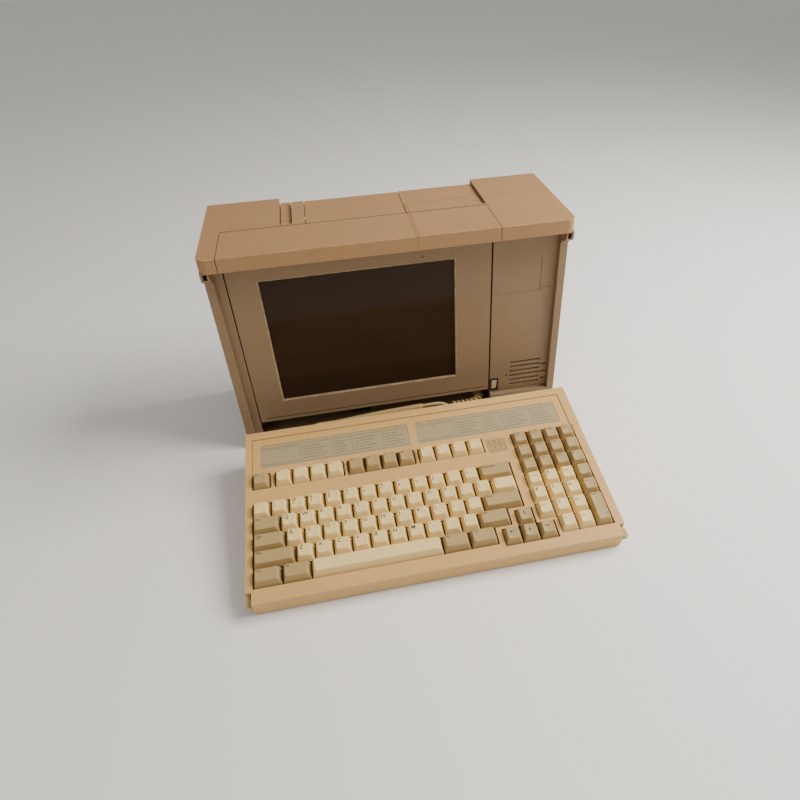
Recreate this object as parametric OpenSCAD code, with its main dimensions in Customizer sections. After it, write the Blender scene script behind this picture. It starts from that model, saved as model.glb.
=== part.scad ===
// Luggable computer: case with a lifting display, folding carry handle and separate keyboard.
// Origin: centre of the footprint on the table. +X to the user's right, +Y to the back, +Z up.

/* [Case] */
// Width over the side shells
case_w = 404; // [396:1:412]
// Height of the top cover above the table
case_h = 273; // [270:1:276]
// Depth of the case from the front edges of its sides to its back
case_d = 131.7; // [130:0.1:134]
// How far the top cover's front lip stands out past the sides
lip_out = 18.3; // [14:0.1:20]
// Height of the top cover's skirt and lip
lip_h = 16; // [15:0.5:17]
// Thickness of the moulded walls
wall = 3; // [2.5:0.1:3]

/* [Display] */
// Width of the display housing
display_w = 294.8; // [290:0.1:294.8]
// Height of the display housing below its cap
display_h = 222.8; // [215:0.1:222.8]
// Width of the visible picture
picture_w = 218.2; // [200:0.1:220]
// Height of the visible picture
picture_h = 164.5; // [150:0.1:166]

/* [Handle] */
// Distance between the middles of the two handle arms
handle_span = 222; // [220:0.5:224]
// Distance from the handle's pivot to the middle of its grip
handle_reach = 65; // [64:0.1:65]

/* [Keyboard] */
// Distance from one key to the next
key_pitch = 19.05; // [18.8:0.05:19.05]
// Slope of the keyboard on its tilt feet, in degrees
kb_tilt = 10; // [10:1:10]
// Height of the caps above the deck
cap_rise = 6.5; // [5:0.5:8]

/* [Cord] */
// Diameter of the keyboard cord
cord_d = 3.8; // [3:0.1:3.8]
// Distance between curls
curl_pitch = 5.8; // [5.8:0.1:7]
// Radius of a curl, to the middle of the cord
curl_r = 4.4; // [4:0.1:4.4]

/* [Hidden] */
half_w = case_w / 2;
back_y = 189.2;
front_y = back_y - case_d;
lip_y = front_y - lip_out;
skirt_z = case_h - lip_h;
foot_h = 4;
floor_z = foot_h + wall;
gap = 0.8;

// Display housing, hung from its cap
disp_x0 = -181.4;
disp_x1 = disp_x0 + display_w;
disp_z1 = skirt_z - 0.2;
disp_z0 = disp_z1 - display_h;
face_y = 64;
disp_back_y = 104;
cap_x0 = -181.8;
cap_x1 = 116.6;
cap_back_y = 104.2;
pic_x0 = -148.5;
pic_z0 = 64.5;
cover_front_y = 106;
tilt_y = 110;
tilt_z = 266;
lift_y = 160;
lift_z = 262;
arm_x0 = -88.8;
arm_x1 = 23.2;
lug_x = [-75, 9];
lug_w = 10;
disp_screws = [for (x = [disp_x0 + 12, disp_x1 - 12], z = [46, 244]) [x, z]];
pin_r = 3;
lift_pin_r = 3.5;
play = 0.05;

// Handle
handle_y = 117;
handle_z = 263;
handle_top_z = 269.6;
handle_low_z = 256;
handle_boss_r = 7.25;
arm_end_y = 181;
arm_end_r = 6.8;
grip_core_r = 4.5;
arm_w = 11.6;
slot_w = 14;
grip_r = 6.8;
grip_y = handle_y + handle_reach;
grip_z = 259;
grip_well_y = 173.5;
well_half = handle_span / 2 + slot_w / 2;
screw_x = 189;
screw_z = [22, 128, 240];

// Right front panel
panel_x0 = 115.4;
panel_x1 = 192.8;
panel_z0 = 28;
panel_z1 = 250;
post_w = 9;
divider_x = 115.6;
bay_top_z = 236;
bay_back_y = 132;
recess_back_y = 110;

// Power switch opening and drive bay
switch_x = 121.4;
switch_z = 40.7;
rocker_y = face_y + 3.2;
rocker_pin_r = 1;
drive_y0 = 141;
drive_z0 = 100;
speaker_x = 163;
speaker_z = 56;
supply_x0 = 119.5;
supply_x1 = 181.5;
supply_top_z = 96;

// Rear ports
port_x = [-138, -94, -50];
port_z0 = 31;
port_z1 = 43;

// Sheet that holds the handle and the lift arm
hinge_z = 236.8;
sheet = 2;

// Keyboard, in its own sloping frame: a to the right, b up the slope, c out of the deck
kb_x = -186.7;
kb_y = -174.5;
kb_z = 25.1;
kb_a0 = -7.8;
kb_a1 = 383.2;
kb_b0 = -15.9;
kb_b1 = 193;
kb_skin = 2.5;
seam_c = -13;
board_c = -12.6;
cap_c0 = -2.7;
plate_c = -11;
housing_h = 4.6;
housing_w = 13.4;
stem_hole_w = 5;
base_front_z = 2;
base_back_z = 17;
foot_b = 172;
foot_pin_z = 21.2;
foot_pin_y = kb_y + foot_b * cos(kb_tilt) + 6;
foot_x = [-150, 150];
relief_a = 68.7;
relief_b1 = 206;
relief_c = -29;
relief_r = 4;
latch_travel = 3.5;
latch_a = [kb_a0 + 0.2, 377.6];
notch_b = -3;
foot_pin_r = 2.5;
foot_half_w = 14;
ear_x = 17;
plug_x = -44;
plug_r = 6.2;
spigot_r = 5;
// Connectors stand out at the back as far as the keyboard reaches to the front
connector_y = -(kb_y + kb_b0 * cos(kb_tilt));
well_floor_z = 232;

// A block between two corners
module block(a, b) { translate(a) cube(b - a); }

// A round bar along X
module bar_x(x0, x1, y, z, r) {
    translate([x0, y, z]) rotate([0, 90, 0]) cylinder(h = x1 - x0, r = r, $fn = 64);
}

// A round bar along Y
module bar_y(y0, y1, x, z, r) {
    translate([x, y0, z]) rotate([-90, 0, 0]) cylinder(h = y1 - y0, r = r, $fn = 48);
}

// A block with an open back, as a moulded tub: open_side is "back" or "front"
module tub(a, b, t, open_side) {
    inner_y0 = open_side == "front" ? a[1] - 1 : a[1] + t;
    inner_y1 = open_side == "front" ? b[1] - t : b[1] + 1;
    difference() {
        block(a, b);
        block([a[0] + t, inner_y0, a[2] + t], [b[0] - t, inner_y1, b[2] - t]);
    }
}

// Mirrored copies on both sides of the middle plane
module both_sides() {
    children();
    mirror([1, 0, 0]) children();
}

module base_tray() {
    color("#8a6f57") {
        difference() {
            block([-half_w, front_y, foot_h], [half_w, back_y, floor_z]);
            for (i = [0 : 7])
                block([-150 + i * 26, 120, foot_h - 1], [-138 + i * 26, 170, floor_z + 1]);
        }
        // Ledge under the right front panel
        difference() {
            block([divider_x, front_y, floor_z], [panel_x1 - 0.4, 67, panel_z0]);
            block([divider_x - 1, front_y + 2.5, floor_z - 1], [panel_x1 - 2.9, 64.5, panel_z0 - 2.5]);
        }
        // Back wall of the cable recess under the display
        block([-182.6, recess_back_y, floor_z], [113.4, recess_back_y + 2.5, 29]);
        for (x = [-150, -30, 80], y = [126, 176])
            translate([x, y, floor_z]) cylinder(h = 5, r = 4, $fn = 32);
    }
}

// Side shell as one plan outline: outer wall, front post and the strip beside the display
module side_shell_plan(strip_x) {
    polygon([[half_w, front_y], [half_w, back_y - wall], [half_w - wall, back_y - wall],
        [half_w - wall, front_y + wall], [half_w - post_w + 2.5, front_y + wall],
        [half_w - post_w + 2.5, face_y + 2.5], [strip_x, face_y + 2.5], [strip_x, face_y],
        [half_w - post_w, face_y], [half_w - post_w, front_y]]);
}

// Bosses at the back of a side shell that take the case screws
module screw_bosses() {
    for (z = screw_z)
        block([screw_x - 6, back_y - 16, z - 6], [half_w - wall, back_y - wall, z + 6]);
}

module screw_holes() {
    both_sides() for (z = screw_z) bar_y(back_y - 14, back_y + 1, screw_x, z, 2);
}

module left_side_shell() {
    color("#8f7259")
    difference() {
        union() {
            translate([0, 0, floor_z]) linear_extrude(skirt_z - floor_z)
                mirror([1, 0]) side_shell_plan(182.8);
            mirror([1, 0, 0]) screw_bosses();
        }
        side_vents(-half_w);
        screw_holes();
    }
}

module side_vents(x) {
    for (i = [0 : 8])
        block([x - wall - 1, 120, 30 + i * 7], [x + wall + 1, 170, 33 + i * 7]);
}

module right_side_shell() {
    color("#8f7259")
    difference() {
        union() {
            translate([0, 0, floor_z]) linear_extrude(skirt_z - floor_z)
                side_shell_plan(half_w - post_w);
            screw_bosses();
        }
        side_vents(half_w);
        screw_holes();
        // Disk slot and the eject button's hole
        block([half_w - wall - 1, drive_y0 + 9.5, drive_z0 + 5],
            [half_w + 1, drive_y0 + 14.5, drive_z0 + 97]);
        block([half_w - wall - 1, drive_y0 + 17.7, drive_z0 + 7.7],
            [half_w + 1, drive_y0 + 23.3, drive_z0 + 20.3]);
    }
}

module rear_cover() {
    color("#8f7259")
    difference() {
        block([-half_w, back_y - wall, floor_z], [half_w, back_y, skirt_z]);
        screw_holes();
        block([-well_half - 3, back_y - wall - 1, well_floor_z - 2],
            [well_half + 3, back_y + 1, skirt_z + 1]);
        // Openings for the mains inlet, the ports and the supply's air
        block([146, back_y - wall - 1, 28], [176, back_y + 1, 50]);
        block([-160, back_y - wall - 1, 24], [-20, back_y + 1, 52]);
        for (i = [0 : 7]) block([126 + i * 8, back_y - wall - 1, 66], [130 + i * 8, back_y + 1, 96]);
        for (i = [0 : 11])
            block([-150 + i * 10, back_y - wall - 1, 190], [-145 + i * 10, back_y + 1, 226]);
    }
}

// Clear way for a handle arm, open at the back
module handle_slot_cut() {
    block([handle_span / 2 - slot_w / 2, 108.7, well_floor_z + 0.5],
        [handle_span / 2 + slot_w / 2, back_y + 1, case_h + 1]);
}

module top_cover() {
    color("#a08468")
    difference() {
        union() {
            difference() {
                block([-half_w, lip_y, skirt_z], [half_w, back_y, case_h]);
                block([-half_w + wall, lip_y + wall, skirt_z + 2.5],
                    [half_w - wall, front_y - wall, case_h - wall]);
                block([-half_w + wall, front_y, skirt_z - 1],
                    [half_w - wall, back_y - wall, case_h - wall]);
                block([cap_x0 - gap, lip_y - 1, skirt_z - 1], [cap_x1 + gap, cover_front_y, case_h + 1]);
            }
            // Walls beside and behind the display's cap
            block([cap_x0 - gap - 2.5, lip_y + 1, skirt_z], [cap_x0 - gap, 110, case_h - 1]);
            block([cap_x1 + gap, lip_y + 1, skirt_z], [cap_x1 + gap + 2.5, cover_front_y, case_h - 1]);
            // Channel walls of the handle slots
            both_sides() for (s = [-1, 1])
                translate([handle_span / 2 + s * (slot_w / 2 + 0.75), 0, 0])
                    block([-0.75, cover_front_y, 250], [0.75, grip_well_y, case_h - 1]);
            // Well behind the cover for the grip
            block([-well_half - 1.5, grip_well_y - 1.5, well_floor_z - 1.5],
                [well_half + 1.5, back_y, well_floor_z]);
            block([-well_half - 1.5, grip_well_y - 1.5, well_floor_z - 1.5],
                [well_half + 1.5, grip_well_y, 250]);
            both_sides()
                block([well_half, grip_well_y - 1.5, well_floor_z - 1.5],
                    [well_half + 1.5, back_y, case_h - 1]);
        }
        both_sides() handle_slot_cut();
        block([-well_half, grip_well_y, well_floor_z], [well_half, back_y + 1, case_h + 1]);
        block([arm_x0 - gap, cover_front_y - 10, 250], [arm_x1 + gap, back_y + 1, case_h + 1]);
        both_sides() bar_x(handle_span / 2 - 14, handle_span / 2 + 14, handle_y, handle_z, pin_r + 0.3);
    }
}

module bay_bulkhead() {
    color("#9a9a94")
    difference() {
        block([-196, bay_back_y, floor_z], [divider_x, bay_back_y + 1.5, bay_top_z]);
        for (x = [-160, -60, 60]) bar_y(bay_back_y - 1, bay_back_y + 3, x, 210, 8);
    }
}

module bay_divider() {
    color("#9a9a94")
    difference() {
        block([divider_x + 0.4, 67.4, panel_z0], [divider_x + 1.9, drive_y0 - 1.5, bay_top_z]);
        for (i = [0 : 5]) block([divider_x - 1, 90, 60 + i * 24], [divider_x + 3, 120, 68 + i * 24]);
        // Clearance for the power switch
        block([divider_x - 1, 67, panel_z0 - 1], [divider_x + 3, 84, 52]);
    }
}

module front_panel() {
    color("#8f735a")
    difference() {
        union() {
            block([panel_x0, face_y, panel_z0 + 0.2], [panel_x1, face_y + 3, panel_z1]);
            block([panel_x0 + 3, face_y + 3, panel_z1 - 4], [panel_x1 - 3, face_y + 9, panel_z1]);
        }
        block([switch_x - 4.6, face_y - 1, switch_z - 8.5], [switch_x + 4.6, face_y + 4, switch_z + 8.5]);
        // Shallow plain recess
        block([122.6, face_y - 1, 175], [175.3, face_y + 0.6, 218]);
        for (i = [0 : 5]) block([142, face_y - 1, 36 + i * 7], [183, face_y + 4, 38.4 + i * 7]);
        for (i = [0 : 2]) block([184.6, face_y - 1, 39 + i * 11.5], [191.6, face_y + 4, 41.4 + i * 11.5]);
    }
}

module switch_frame() {
    color("#1c1713")
    difference() {
        union() {
            block([switch_x - 5.5, face_y - 0.8, switch_z - 9.4], [switch_x + 5.5, face_y, switch_z + 9.4]);
            block([switch_x - 4.5, face_y, switch_z - 8.4], [switch_x + 4.5, face_y + 16, switch_z + 8.4]);
        }
        block([switch_x - 3.7, face_y - 2, switch_z - 7.6], [switch_x + 3.7, face_y + 10, switch_z + 7.6]);
        bar_x(switch_x - 6, switch_x + 6, rocker_y, switch_z, rocker_pin_r + play);
    }
}

module power_rocker() {
    color("#d8c9ac")
    union() {
        translate([switch_x - 3.4, rocker_y, switch_z]) rotate([90, 0, 90]) linear_extrude(6.8)
            polygon([[-4.2, 6.4], [-3.1, 0], [-3.1, -6.9], [1.5, -6.6], [3.6, -1.5], [3.6, 1.5], [1.5, 6.4]]);
        bar_x(switch_x - 4.3, switch_x + 4.3, rocker_y, switch_z, rocker_pin_r);
    }
}

module loudspeaker() {
    color("#3a3734") {
        bar_y(face_y + 3.4, face_y + 7, speaker_x, speaker_z, 22);
        bar_y(face_y + 7, face_y + 17, speaker_x, speaker_z, 12);
    }
}

module power_supply() {
    color("#b9bab5")
    difference() {
        block([supply_x0, 92, floor_z], [supply_x1, 184, supply_top_z]);
        block([supply_x0 + 1.5, 93.5, floor_z + 1.5], [supply_x1 - 1.5, 182.5, supply_top_z - 1.5]);
        for (i = [0 : 4]) block([126 + i * 10, 90, 40], [131 + i * 10, 95, 84]);
        bar_y(180, 186, 158, 70, 18);
        block([145, 180, 22], [177, 186, 56]);
    }
}

module main_board() {
    color("#2f5d3a") block([-178, bay_back_y + 5, 14], [45, bay_back_y + 6.6, 226]);
    color("#262626")
    for (i = [0 : 3], j = [0 : 4])
        block([-160 + i * 34, bay_back_y + 6.6, 60 + j * 30], [-142 + i * 34, bay_back_y + 10, 76 + j * 30]);
    color("#262626") block([-8, bay_back_y + 6.6, 150], [32, bay_back_y + 11, 190]);
}

module expansion_card() {
    color("#2f5d3a") block([-120, bay_back_y + 12, 30], [-118.4, back_y - 8, 200]);
    color("#262626")
    for (j = [0 : 3]) block([-118.4, bay_back_y + 18, 50 + j * 34], [-115, bay_back_y + 36, 70 + j * 34]);
}

module hard_drive() {
    color("#a9aaa6") block([-100, 150, 60], [2, 175.4, 206]);
    color("#2f5d3a") block([-98, 147.5, 62], [0, 150, 204]);
}

module floppy_drive() {
    color("#c9c8c0")
    difference() {
        block([52.6, drive_y0, drive_z0], [half_w - wall - 0.4, drive_y0 + 25.4, drive_z0 + 102]);
        block([60, drive_y0 + 9.5, drive_z0 + 5.2], [half_w, drive_y0 + 14.5, drive_z0 + 96.8]);
        block([half_w - 24, drive_y0 + 17.5, drive_z0 + 7.5], [half_w, drive_y0 + 23.5, drive_z0 + 20.5]);
    }
}

module eject_button() {
    color("#d8c9ac")
    block([half_w - 18, drive_y0 + 18, drive_z0 + 8], [half_w, drive_y0 + 23, drive_z0 + 20]);
}

module mains_inlet() {
    color("#1c1713")
    difference() {
        block([146.2, back_y - 12, 28.2], [175.8, connector_y, 49.8]);
        block([149, back_y - 9, 31], [173, connector_y + 1, 47]);
    }
    color("#b9bab5")
    for (p = [[155, 36.5], [167, 36.5], [161, 41.5]])
        block([p[0] - 2, back_y - 9, p[1] - 1], [p[0] + 2, back_y - 5.4, p[1] + 1]);
}

module port_plate() {
    color("#b9bab5") {
        difference() {
            block([-159.6, back_y - wall + 0.2, 24.4], [-20.4, back_y - 1, 51.6]);
            for (x = port_x) block([x - 16, back_y - 6, port_z0], [x + 16, back_y + 1, port_z1]);
        }
        for (x = port_x)
            difference() {
                block([x - 15.8, back_y - 8, port_z0 + 0.2], [x + 15.8, connector_y, port_z1 - 0.2]);
                block([x - 14.4, back_y - 5, port_z0 + 1.6], [x + 14.4, connector_y + 1, port_z1 - 1.6]);
            }
    }
}

module keyboard_socket() {
    color("#2b2724")
    difference() {
        block([-66, 90, floor_z], [-44, 108, 27]);
        bar_x(plug_x - 12, plug_x + 4, coil_back_y, socket_z, spigot_r);
    }
}

module case_feet() {
    color("#26221f")
    for (x = [-178, 178], y = [80, 172])
        translate([x, y, 0]) cylinder(h = foot_h, r = 9, $fn = 48);
}

module case_screws() {
    color("#777570")
    both_sides() for (z = screw_z) bar_y(back_y - 12, back_y - 0.6, screw_x, z, 2);
}

module hinge_frame() {
    color("#b3b4af")
    difference() {
        union() {
            both_sides() {
                for (x = [97.5, 122.5]) block([x, 109, hinge_z], [x + sheet, 125, case_h - wall]);
                block([97.5, 109, hinge_z], [124.5, 125, hinge_z + sheet]);
            }
            for (x = [arm_x0 - 7, arm_x1 + 5])
                block([x, 150, hinge_z], [x + sheet, 170, case_h - wall]);
            block([-124.5, 125, hinge_z], [124.5, 170, hinge_z + sheet]);
        }
        bar_x(arm_x0 - 9, arm_x1 + 9, lift_y, lift_z, lift_pin_r);
        both_sides() bar_x(95, 127, handle_y, handle_z, pin_r);
    }
}

module lift_pin() {
    color("#c8c8c4") bar_x(arm_x0 - 8, arm_x1 + 8, lift_y, lift_z, lift_pin_r);
}

module handle_pins() {
    color("#c8c8c4") both_sides() bar_x(97, 125, handle_y, handle_z, pin_r);
}

module carry_handle() {
    color("#6f5a48") {
        both_sides()
        difference() {
            union() {
                bar_x(handle_span / 2 - arm_w / 2, handle_span / 2 + arm_w / 2, handle_y, handle_z, handle_boss_r);
                block([handle_span / 2 - arm_w / 2, handle_y, handle_low_z],
                    [handle_span / 2 + arm_w / 2, arm_end_y, handle_top_z]);
                bar_x(handle_span / 2 - arm_w / 2, handle_span / 2 + arm_w / 2, arm_end_y,
                    handle_top_z - arm_end_r, arm_end_r);
            }
            bar_x(handle_span / 2 - 8, handle_span / 2 + 8, handle_y, handle_z, pin_r + play);
        }
        bar_x(-handle_span / 2 + arm_w / 2, handle_span / 2 - arm_w / 2, grip_y, grip_z, grip_core_r);
    }
}

module handle_grip() {
    color("#2b2724")
    difference() {
        bar_x(-90, 90, grip_y, grip_z, grip_r);
        bar_x(-91, 91, grip_y, grip_z, grip_core_r);
    }
}

module lift_arm() {
    color("#a08468")
    difference() {
        union() {
            block([arm_x0, cover_front_y, 261.4], [arm_x1, grip_well_y - 1.7, case_h]);
            bar_x(arm_x0, arm_x1, lift_y, lift_z, case_h - lift_z);
        }
        // Pockets for the display's two lugs, and the bores
        for (x = lug_x)
            block([x - lug_w / 2 - 0.8, cover_front_y - 1, 258], [x + lug_w / 2 + 0.8, 115.6, 271.4]);
        bar_x(arm_x0 + 5, arm_x1 - 5, tilt_y, tilt_z, pin_r);
        bar_x(arm_x0 - 1, arm_x1 + 1, lift_y, lift_z, lift_pin_r + play);
        // Hollow underside
        block([arm_x0 + 4, 119, 258], [arm_x1 - 4, 145, 269]);
    }
}

module tilt_pin() {
    color("#c8c8c4") bar_x(arm_x0 + 5, arm_x1 - 5, tilt_y, tilt_z, pin_r);
}

module display_cap() {
    color("#a08468") {
        difference() {
            block([cap_x0, lip_y, skirt_z], [cap_x1, cap_back_y, case_h]);
            block([cap_x0 + wall, lip_y + wall, skirt_z + 2.5], [cap_x1 - wall, face_y - 1, case_h - wall]);
            block([cap_x0 + wall, face_y + 4, skirt_z - 1],
                [cap_x1 - wall, cap_back_y - wall, case_h - wall]);
        }
        for (x = lug_x)
            difference() {
                union() {
                    bar_x(x - lug_w / 2, x + lug_w / 2, tilt_y, tilt_z, 4.8);
                    block([x - lug_w / 2, cap_back_y - 1, tilt_z - 4], [x + lug_w / 2, tilt_y, tilt_z + 3.6]);
                }
                bar_x(x - lug_w, x + lug_w, tilt_y, tilt_z, pin_r + play);
            }
    }
}

module display_bezel() {
    color("#9b7f64")
    difference() {
        union() {
            tub([disp_x0, face_y, disp_z0], [disp_x1, 80, disp_z1], wall, "back");
            for (p = disp_screws) bar_y(face_y + 2, 97, p[0], p[1], 5);
        }
        for (p = disp_screws) bar_y(84, 98, p[0], p[1], 2);
        block([pic_x0, face_y - 1, pic_z0], [pic_x0 + picture_w, face_y + 4, pic_z0 + picture_h]);
        // Groove that sets off the finger rail along the bottom edge
        block([disp_x0 + 7, face_y - 1, 38.2], [disp_x1 - 6, face_y + 1.4, 39.4]);
    }
}

module display_window() {
    color([0.12, 0.09, 0.08, 0.8])
    block([pic_x0 - 7, face_y + 3.2, pic_z0 - 7],
        [pic_x0 + picture_w + 7, face_y + 5.2, pic_z0 + picture_h + 7]);
}

module display_panel() {
    color("#3b3029")
    block([pic_x0 - 5, face_y + 6, pic_z0 - 5], [pic_x0 + picture_w + 5, 84, pic_z0 + picture_h + 5]);
}

module display_board() {
    color("#2f5d3a") block([pic_x0 - 2, 88, 60], [pic_x0 + picture_w - 4, 89.6, 226]);
    color("#262626")
    for (i = [0 : 5]) block([-130 + i * 34, 89.6, 80], [-112 + i * 34, 94, 112]);
    color("#c98d2e") block([20, 89.6, 150], [54, 98, 190]);
}

module display_back() {
    color("#8f7259")
    difference() {
        tub([disp_x0, 80.2, disp_z0], [disp_x1, disp_back_y, disp_z1], 2.5, "front");
        for (p = disp_screws) bar_y(98, disp_back_y + 1, p[0], p[1], 2);
        for (i = [0 : 9])
            block([-130 + i * 20, disp_back_y - 4, 200], [-122 + i * 20, disp_back_y + 1, 236]);
    }
}

module display_screws() {
    color("#777570")
    for (p = disp_screws) bar_y(84, disp_back_y - 0.5, p[0], p[1], 2);
}

// Places its children in the keyboard's sloping frame
module on_slope() {
    translate([kb_x, kb_y, kb_z]) rotate([kb_tilt, 0, 0]) children();
}

// Key rows, each [b, [[first pitch, last pitch], ...]]
number_row = [for (i = [0 : 12]) [i, i + 1]];
letter_rows = [
    [3, concat([for (i = [0 : 11]) [1.5 + i, 2.5 + i]], [[13.5, 15]])],
    [2, [for (i = [0 : 10]) [1.75 + i, 2.75 + i]]],
    [1, [for (i = [0 : 9]) [2.25 + i, 3.25 + i]]]];
modifier_rows = [
    [4, [[13, 15]]],
    [3, [[0, 1.5]]],
    [2, [[0, 1.75]]],
    [1, [[0, 2.25], [12.25, 14]]],
    [0, [[0, 1.5], [1.5, 3], [10, 11.5], [11.5, 13]]]];
enter_row = [2, [[12.75, 15]]];
space_row = [0, [[3, 10]]];
function_row = [6, concat([[0, 1]], [for (g = [0 : 2], i = [0 : 3])
    [1.28 + g * 4.25 + i, 2.28 + g * 4.25 + i]])];
arrow_low = [-0.2, [for (i = [0 : 2]) [13.35 + i, 14.35 + i]]];
arrow_up = [0.8, [[14.35, 15.35]]];
pad_x = 15.6;
pad_cream_rows = [
    [3, [for (i = [0 : 2]) [pad_x + i, pad_x + i + 1]]],
    [2, [for (i = [0 : 2]) [pad_x + i, pad_x + i + 1]]],
    [1, [for (i = [0 : 2]) [pad_x + i, pad_x + i + 1]]],
    [0, [[pad_x + 1, pad_x + 2], [pad_x + 2, pad_x + 3]]]];
pad_tan_rows = concat(
    [for (b = [4 : 6]) [b, [for (i = [0 : 3]) [pad_x + i, pad_x + i + 1]]]],
    [for (b = [2 : 3]) [b, [[pad_x + 3, pad_x + 4]]]]);
pad_enter = [pad_x + 3, pad_x + 4];

// One row of tapered caps: a side outline along the row, cut by front outlines of the caps
module cap_row(row, depth = 1) {
    p = key_pitch;
    b0 = row[0] * p + 0.5;
    b1 = (row[0] + depth) * p - 0.5;
    keys = row[1];
    a_low = keys[0][0] * p;
    a_high = keys[len(keys) - 1][1] * p;
    intersection() {
        translate([a_low, 0, 0]) rotate([90, 0, 90]) linear_extrude(a_high - a_low)
            polygon([[b0, cap_c0], [b1, cap_c0], [b1 - 1.4, cap_rise + 0.5], [b0 + 3.4, cap_rise - 0.3]]);
        translate([0, b1, 0]) rotate([90, 0, 0]) linear_extrude(b1 - b0)
            for (k = keys)
                polygon([[k[0] * p + 0.5, cap_c0 - 1], [k[1] * p - 0.5, cap_c0 - 1],
                    [k[1] * p - 0.5, cap_c0 + 1], [k[1] * p - 3.4, cap_rise + 1],
                    [k[0] * p + 2.8, cap_rise + 1], [k[0] * p + 0.5, cap_c0 + 1]]);
    }
    // Stems that ride in the switch housings
    for (k = keys)
        translate([(k[0] + k[1]) / 2 * p - 2, (row[0] + depth / 2) * p - 2, cap_c0 - 3.4])
            cube([4, 4, 3.4]);
}

all_rows = concat([[4, number_row]], letter_rows, modifier_rows, [enter_row, space_row, function_row,
    arrow_low, arrow_up], pad_cream_rows, pad_tan_rows);

// Switch housings under every key, as square rings
module key_switches() {
    color("#2b2724")
    on_slope() translate([0, 0, plate_c]) linear_extrude(housing_h)
        difference() {
            for (r = all_rows, k = r[1])
                translate([(k[0] + k[1]) / 2 * key_pitch, (r[0] + 0.5) * key_pitch])
                    square(housing_w, center = true);
            for (r = all_rows, k = r[1])
                translate([(k[0] + k[1]) / 2 * key_pitch, (r[0] + 0.5) * key_pitch])
                    square(stem_hole_w, center = true);
        }
    color("#2b2724")
    on_slope() translate([(pad_enter[0] + 0.5) * key_pitch, key_pitch, plate_c]) linear_extrude(housing_h)
        difference() {
            square(housing_w, center = true);
            square(stem_hole_w, center = true);
        }
}

// Openings in the keyboard's top for the key groups, seen from above
module key_openings() {
    p = key_pitch;
    m = 0.6;
    polygon([[-m, -m], [13 * p + m, -m], [13 * p + m, p - m], [14 * p + m, p - m],
        [14 * p + m, 2 * p - m], [15 * p + m, 2 * p - m], [15 * p + m, 5 * p + m], [-m, 5 * p + m]]);
    for (g = concat([[0, 1]], [for (i = [0 : 2]) [1.28 + i * 4.25, 5.28 + i * 4.25]]))
        translate([g[0] * p - m, 6 * p - m]) square([(g[1] - g[0]) * p + 2 * m, p + 2 * m]);
    for (r = [[13.35, -0.2, 3, 1], [14.35, 0.7, 1, 1.1], [pad_x, 1, 4, 6], [pad_x + 1, 0, 3, 1.1]])
        translate([r[0] * p - m, r[1] * p - m]) square([r[2] * p + 2 * m, r[3] * p + 2 * m]);
}

// Underside of the keyboard at its ends and in between, from its heights above the table
base_front_c = (base_front_z - kb_z - kb_b0 * sin(kb_tilt)) / cos(kb_tilt);
base_back_c = (base_back_z - kb_z - kb_b1 * sin(kb_tilt)) / cos(kb_tilt);
function base_c(b) = base_front_c + (base_back_c - base_front_c) * (b - kb_b0) / (kb_b1 - kb_b0);

// Side outline of the keyboard's shells, b against c
module keyboard_outline(inset = 0) {
    polygon([[kb_b0 + inset, base_front_c + inset], [kb_b1 - inset, base_back_c + inset],
        [kb_b1 - inset, -inset], [kb_b0 + inset, -inset]]);
}

module keyboard_body(inset = 0) {
    translate([kb_a0 + inset, 0, 0]) rotate([90, 0, 90])
        linear_extrude(kb_a1 - kb_a0 - 2 * inset) keyboard_outline(inset);
}

module keyboard_top() {
    color("#dccbad")
    on_slope()
    difference() {
        union() {
            intersection() {
                difference() {
                    keyboard_body();
                    keyboard_body(kb_skin);
                }
                block([kb_a0 - 1, kb_b0 - 1, seam_c], [kb_a1 + 1, kb_b1 + 1, 1]);
            }
            corner_blocks();
            // Rim round the back and sides
            difference() {
                block([kb_a0, 133, 0], [kb_a1, kb_b1, 0.8]);
                block([-0.5, 130, -1], [372.5, 183, 2]);
            }
        }
        translate([0, 0, -kb_skin - 1]) linear_extrude(kb_skin + 2) key_openings();
        // Beds of the two label strips and the lamp plate
        block([9.4, 141, -1.2], [180.2, 173, 2]);
        block([190, 141, -1.2], [362.6, 173, 2]);
        block([267, 112.4, -1.2], [290, 132, 2]);
        latch_notches();
    }
}

// Solid corners at the front, and the notches in them that hold the latches
module corner_blocks() {
    for (a = [kb_a0, 374.7])
        block([a, kb_b0, seam_c], [a + 8.5, -0.5, -1]);
}

module latch_notches() {
    block([kb_a0 - 1, kb_b0 - 1, -60], [-1.8, notch_b, 2]);
    block([377.2, kb_b0 - 1, -60], [kb_a1 + 1, notch_b, 2]);
    for (a = latch_a) block([a + 1, -4, -8.4], [a + 4.4, 6, -4.6]);
}

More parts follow.
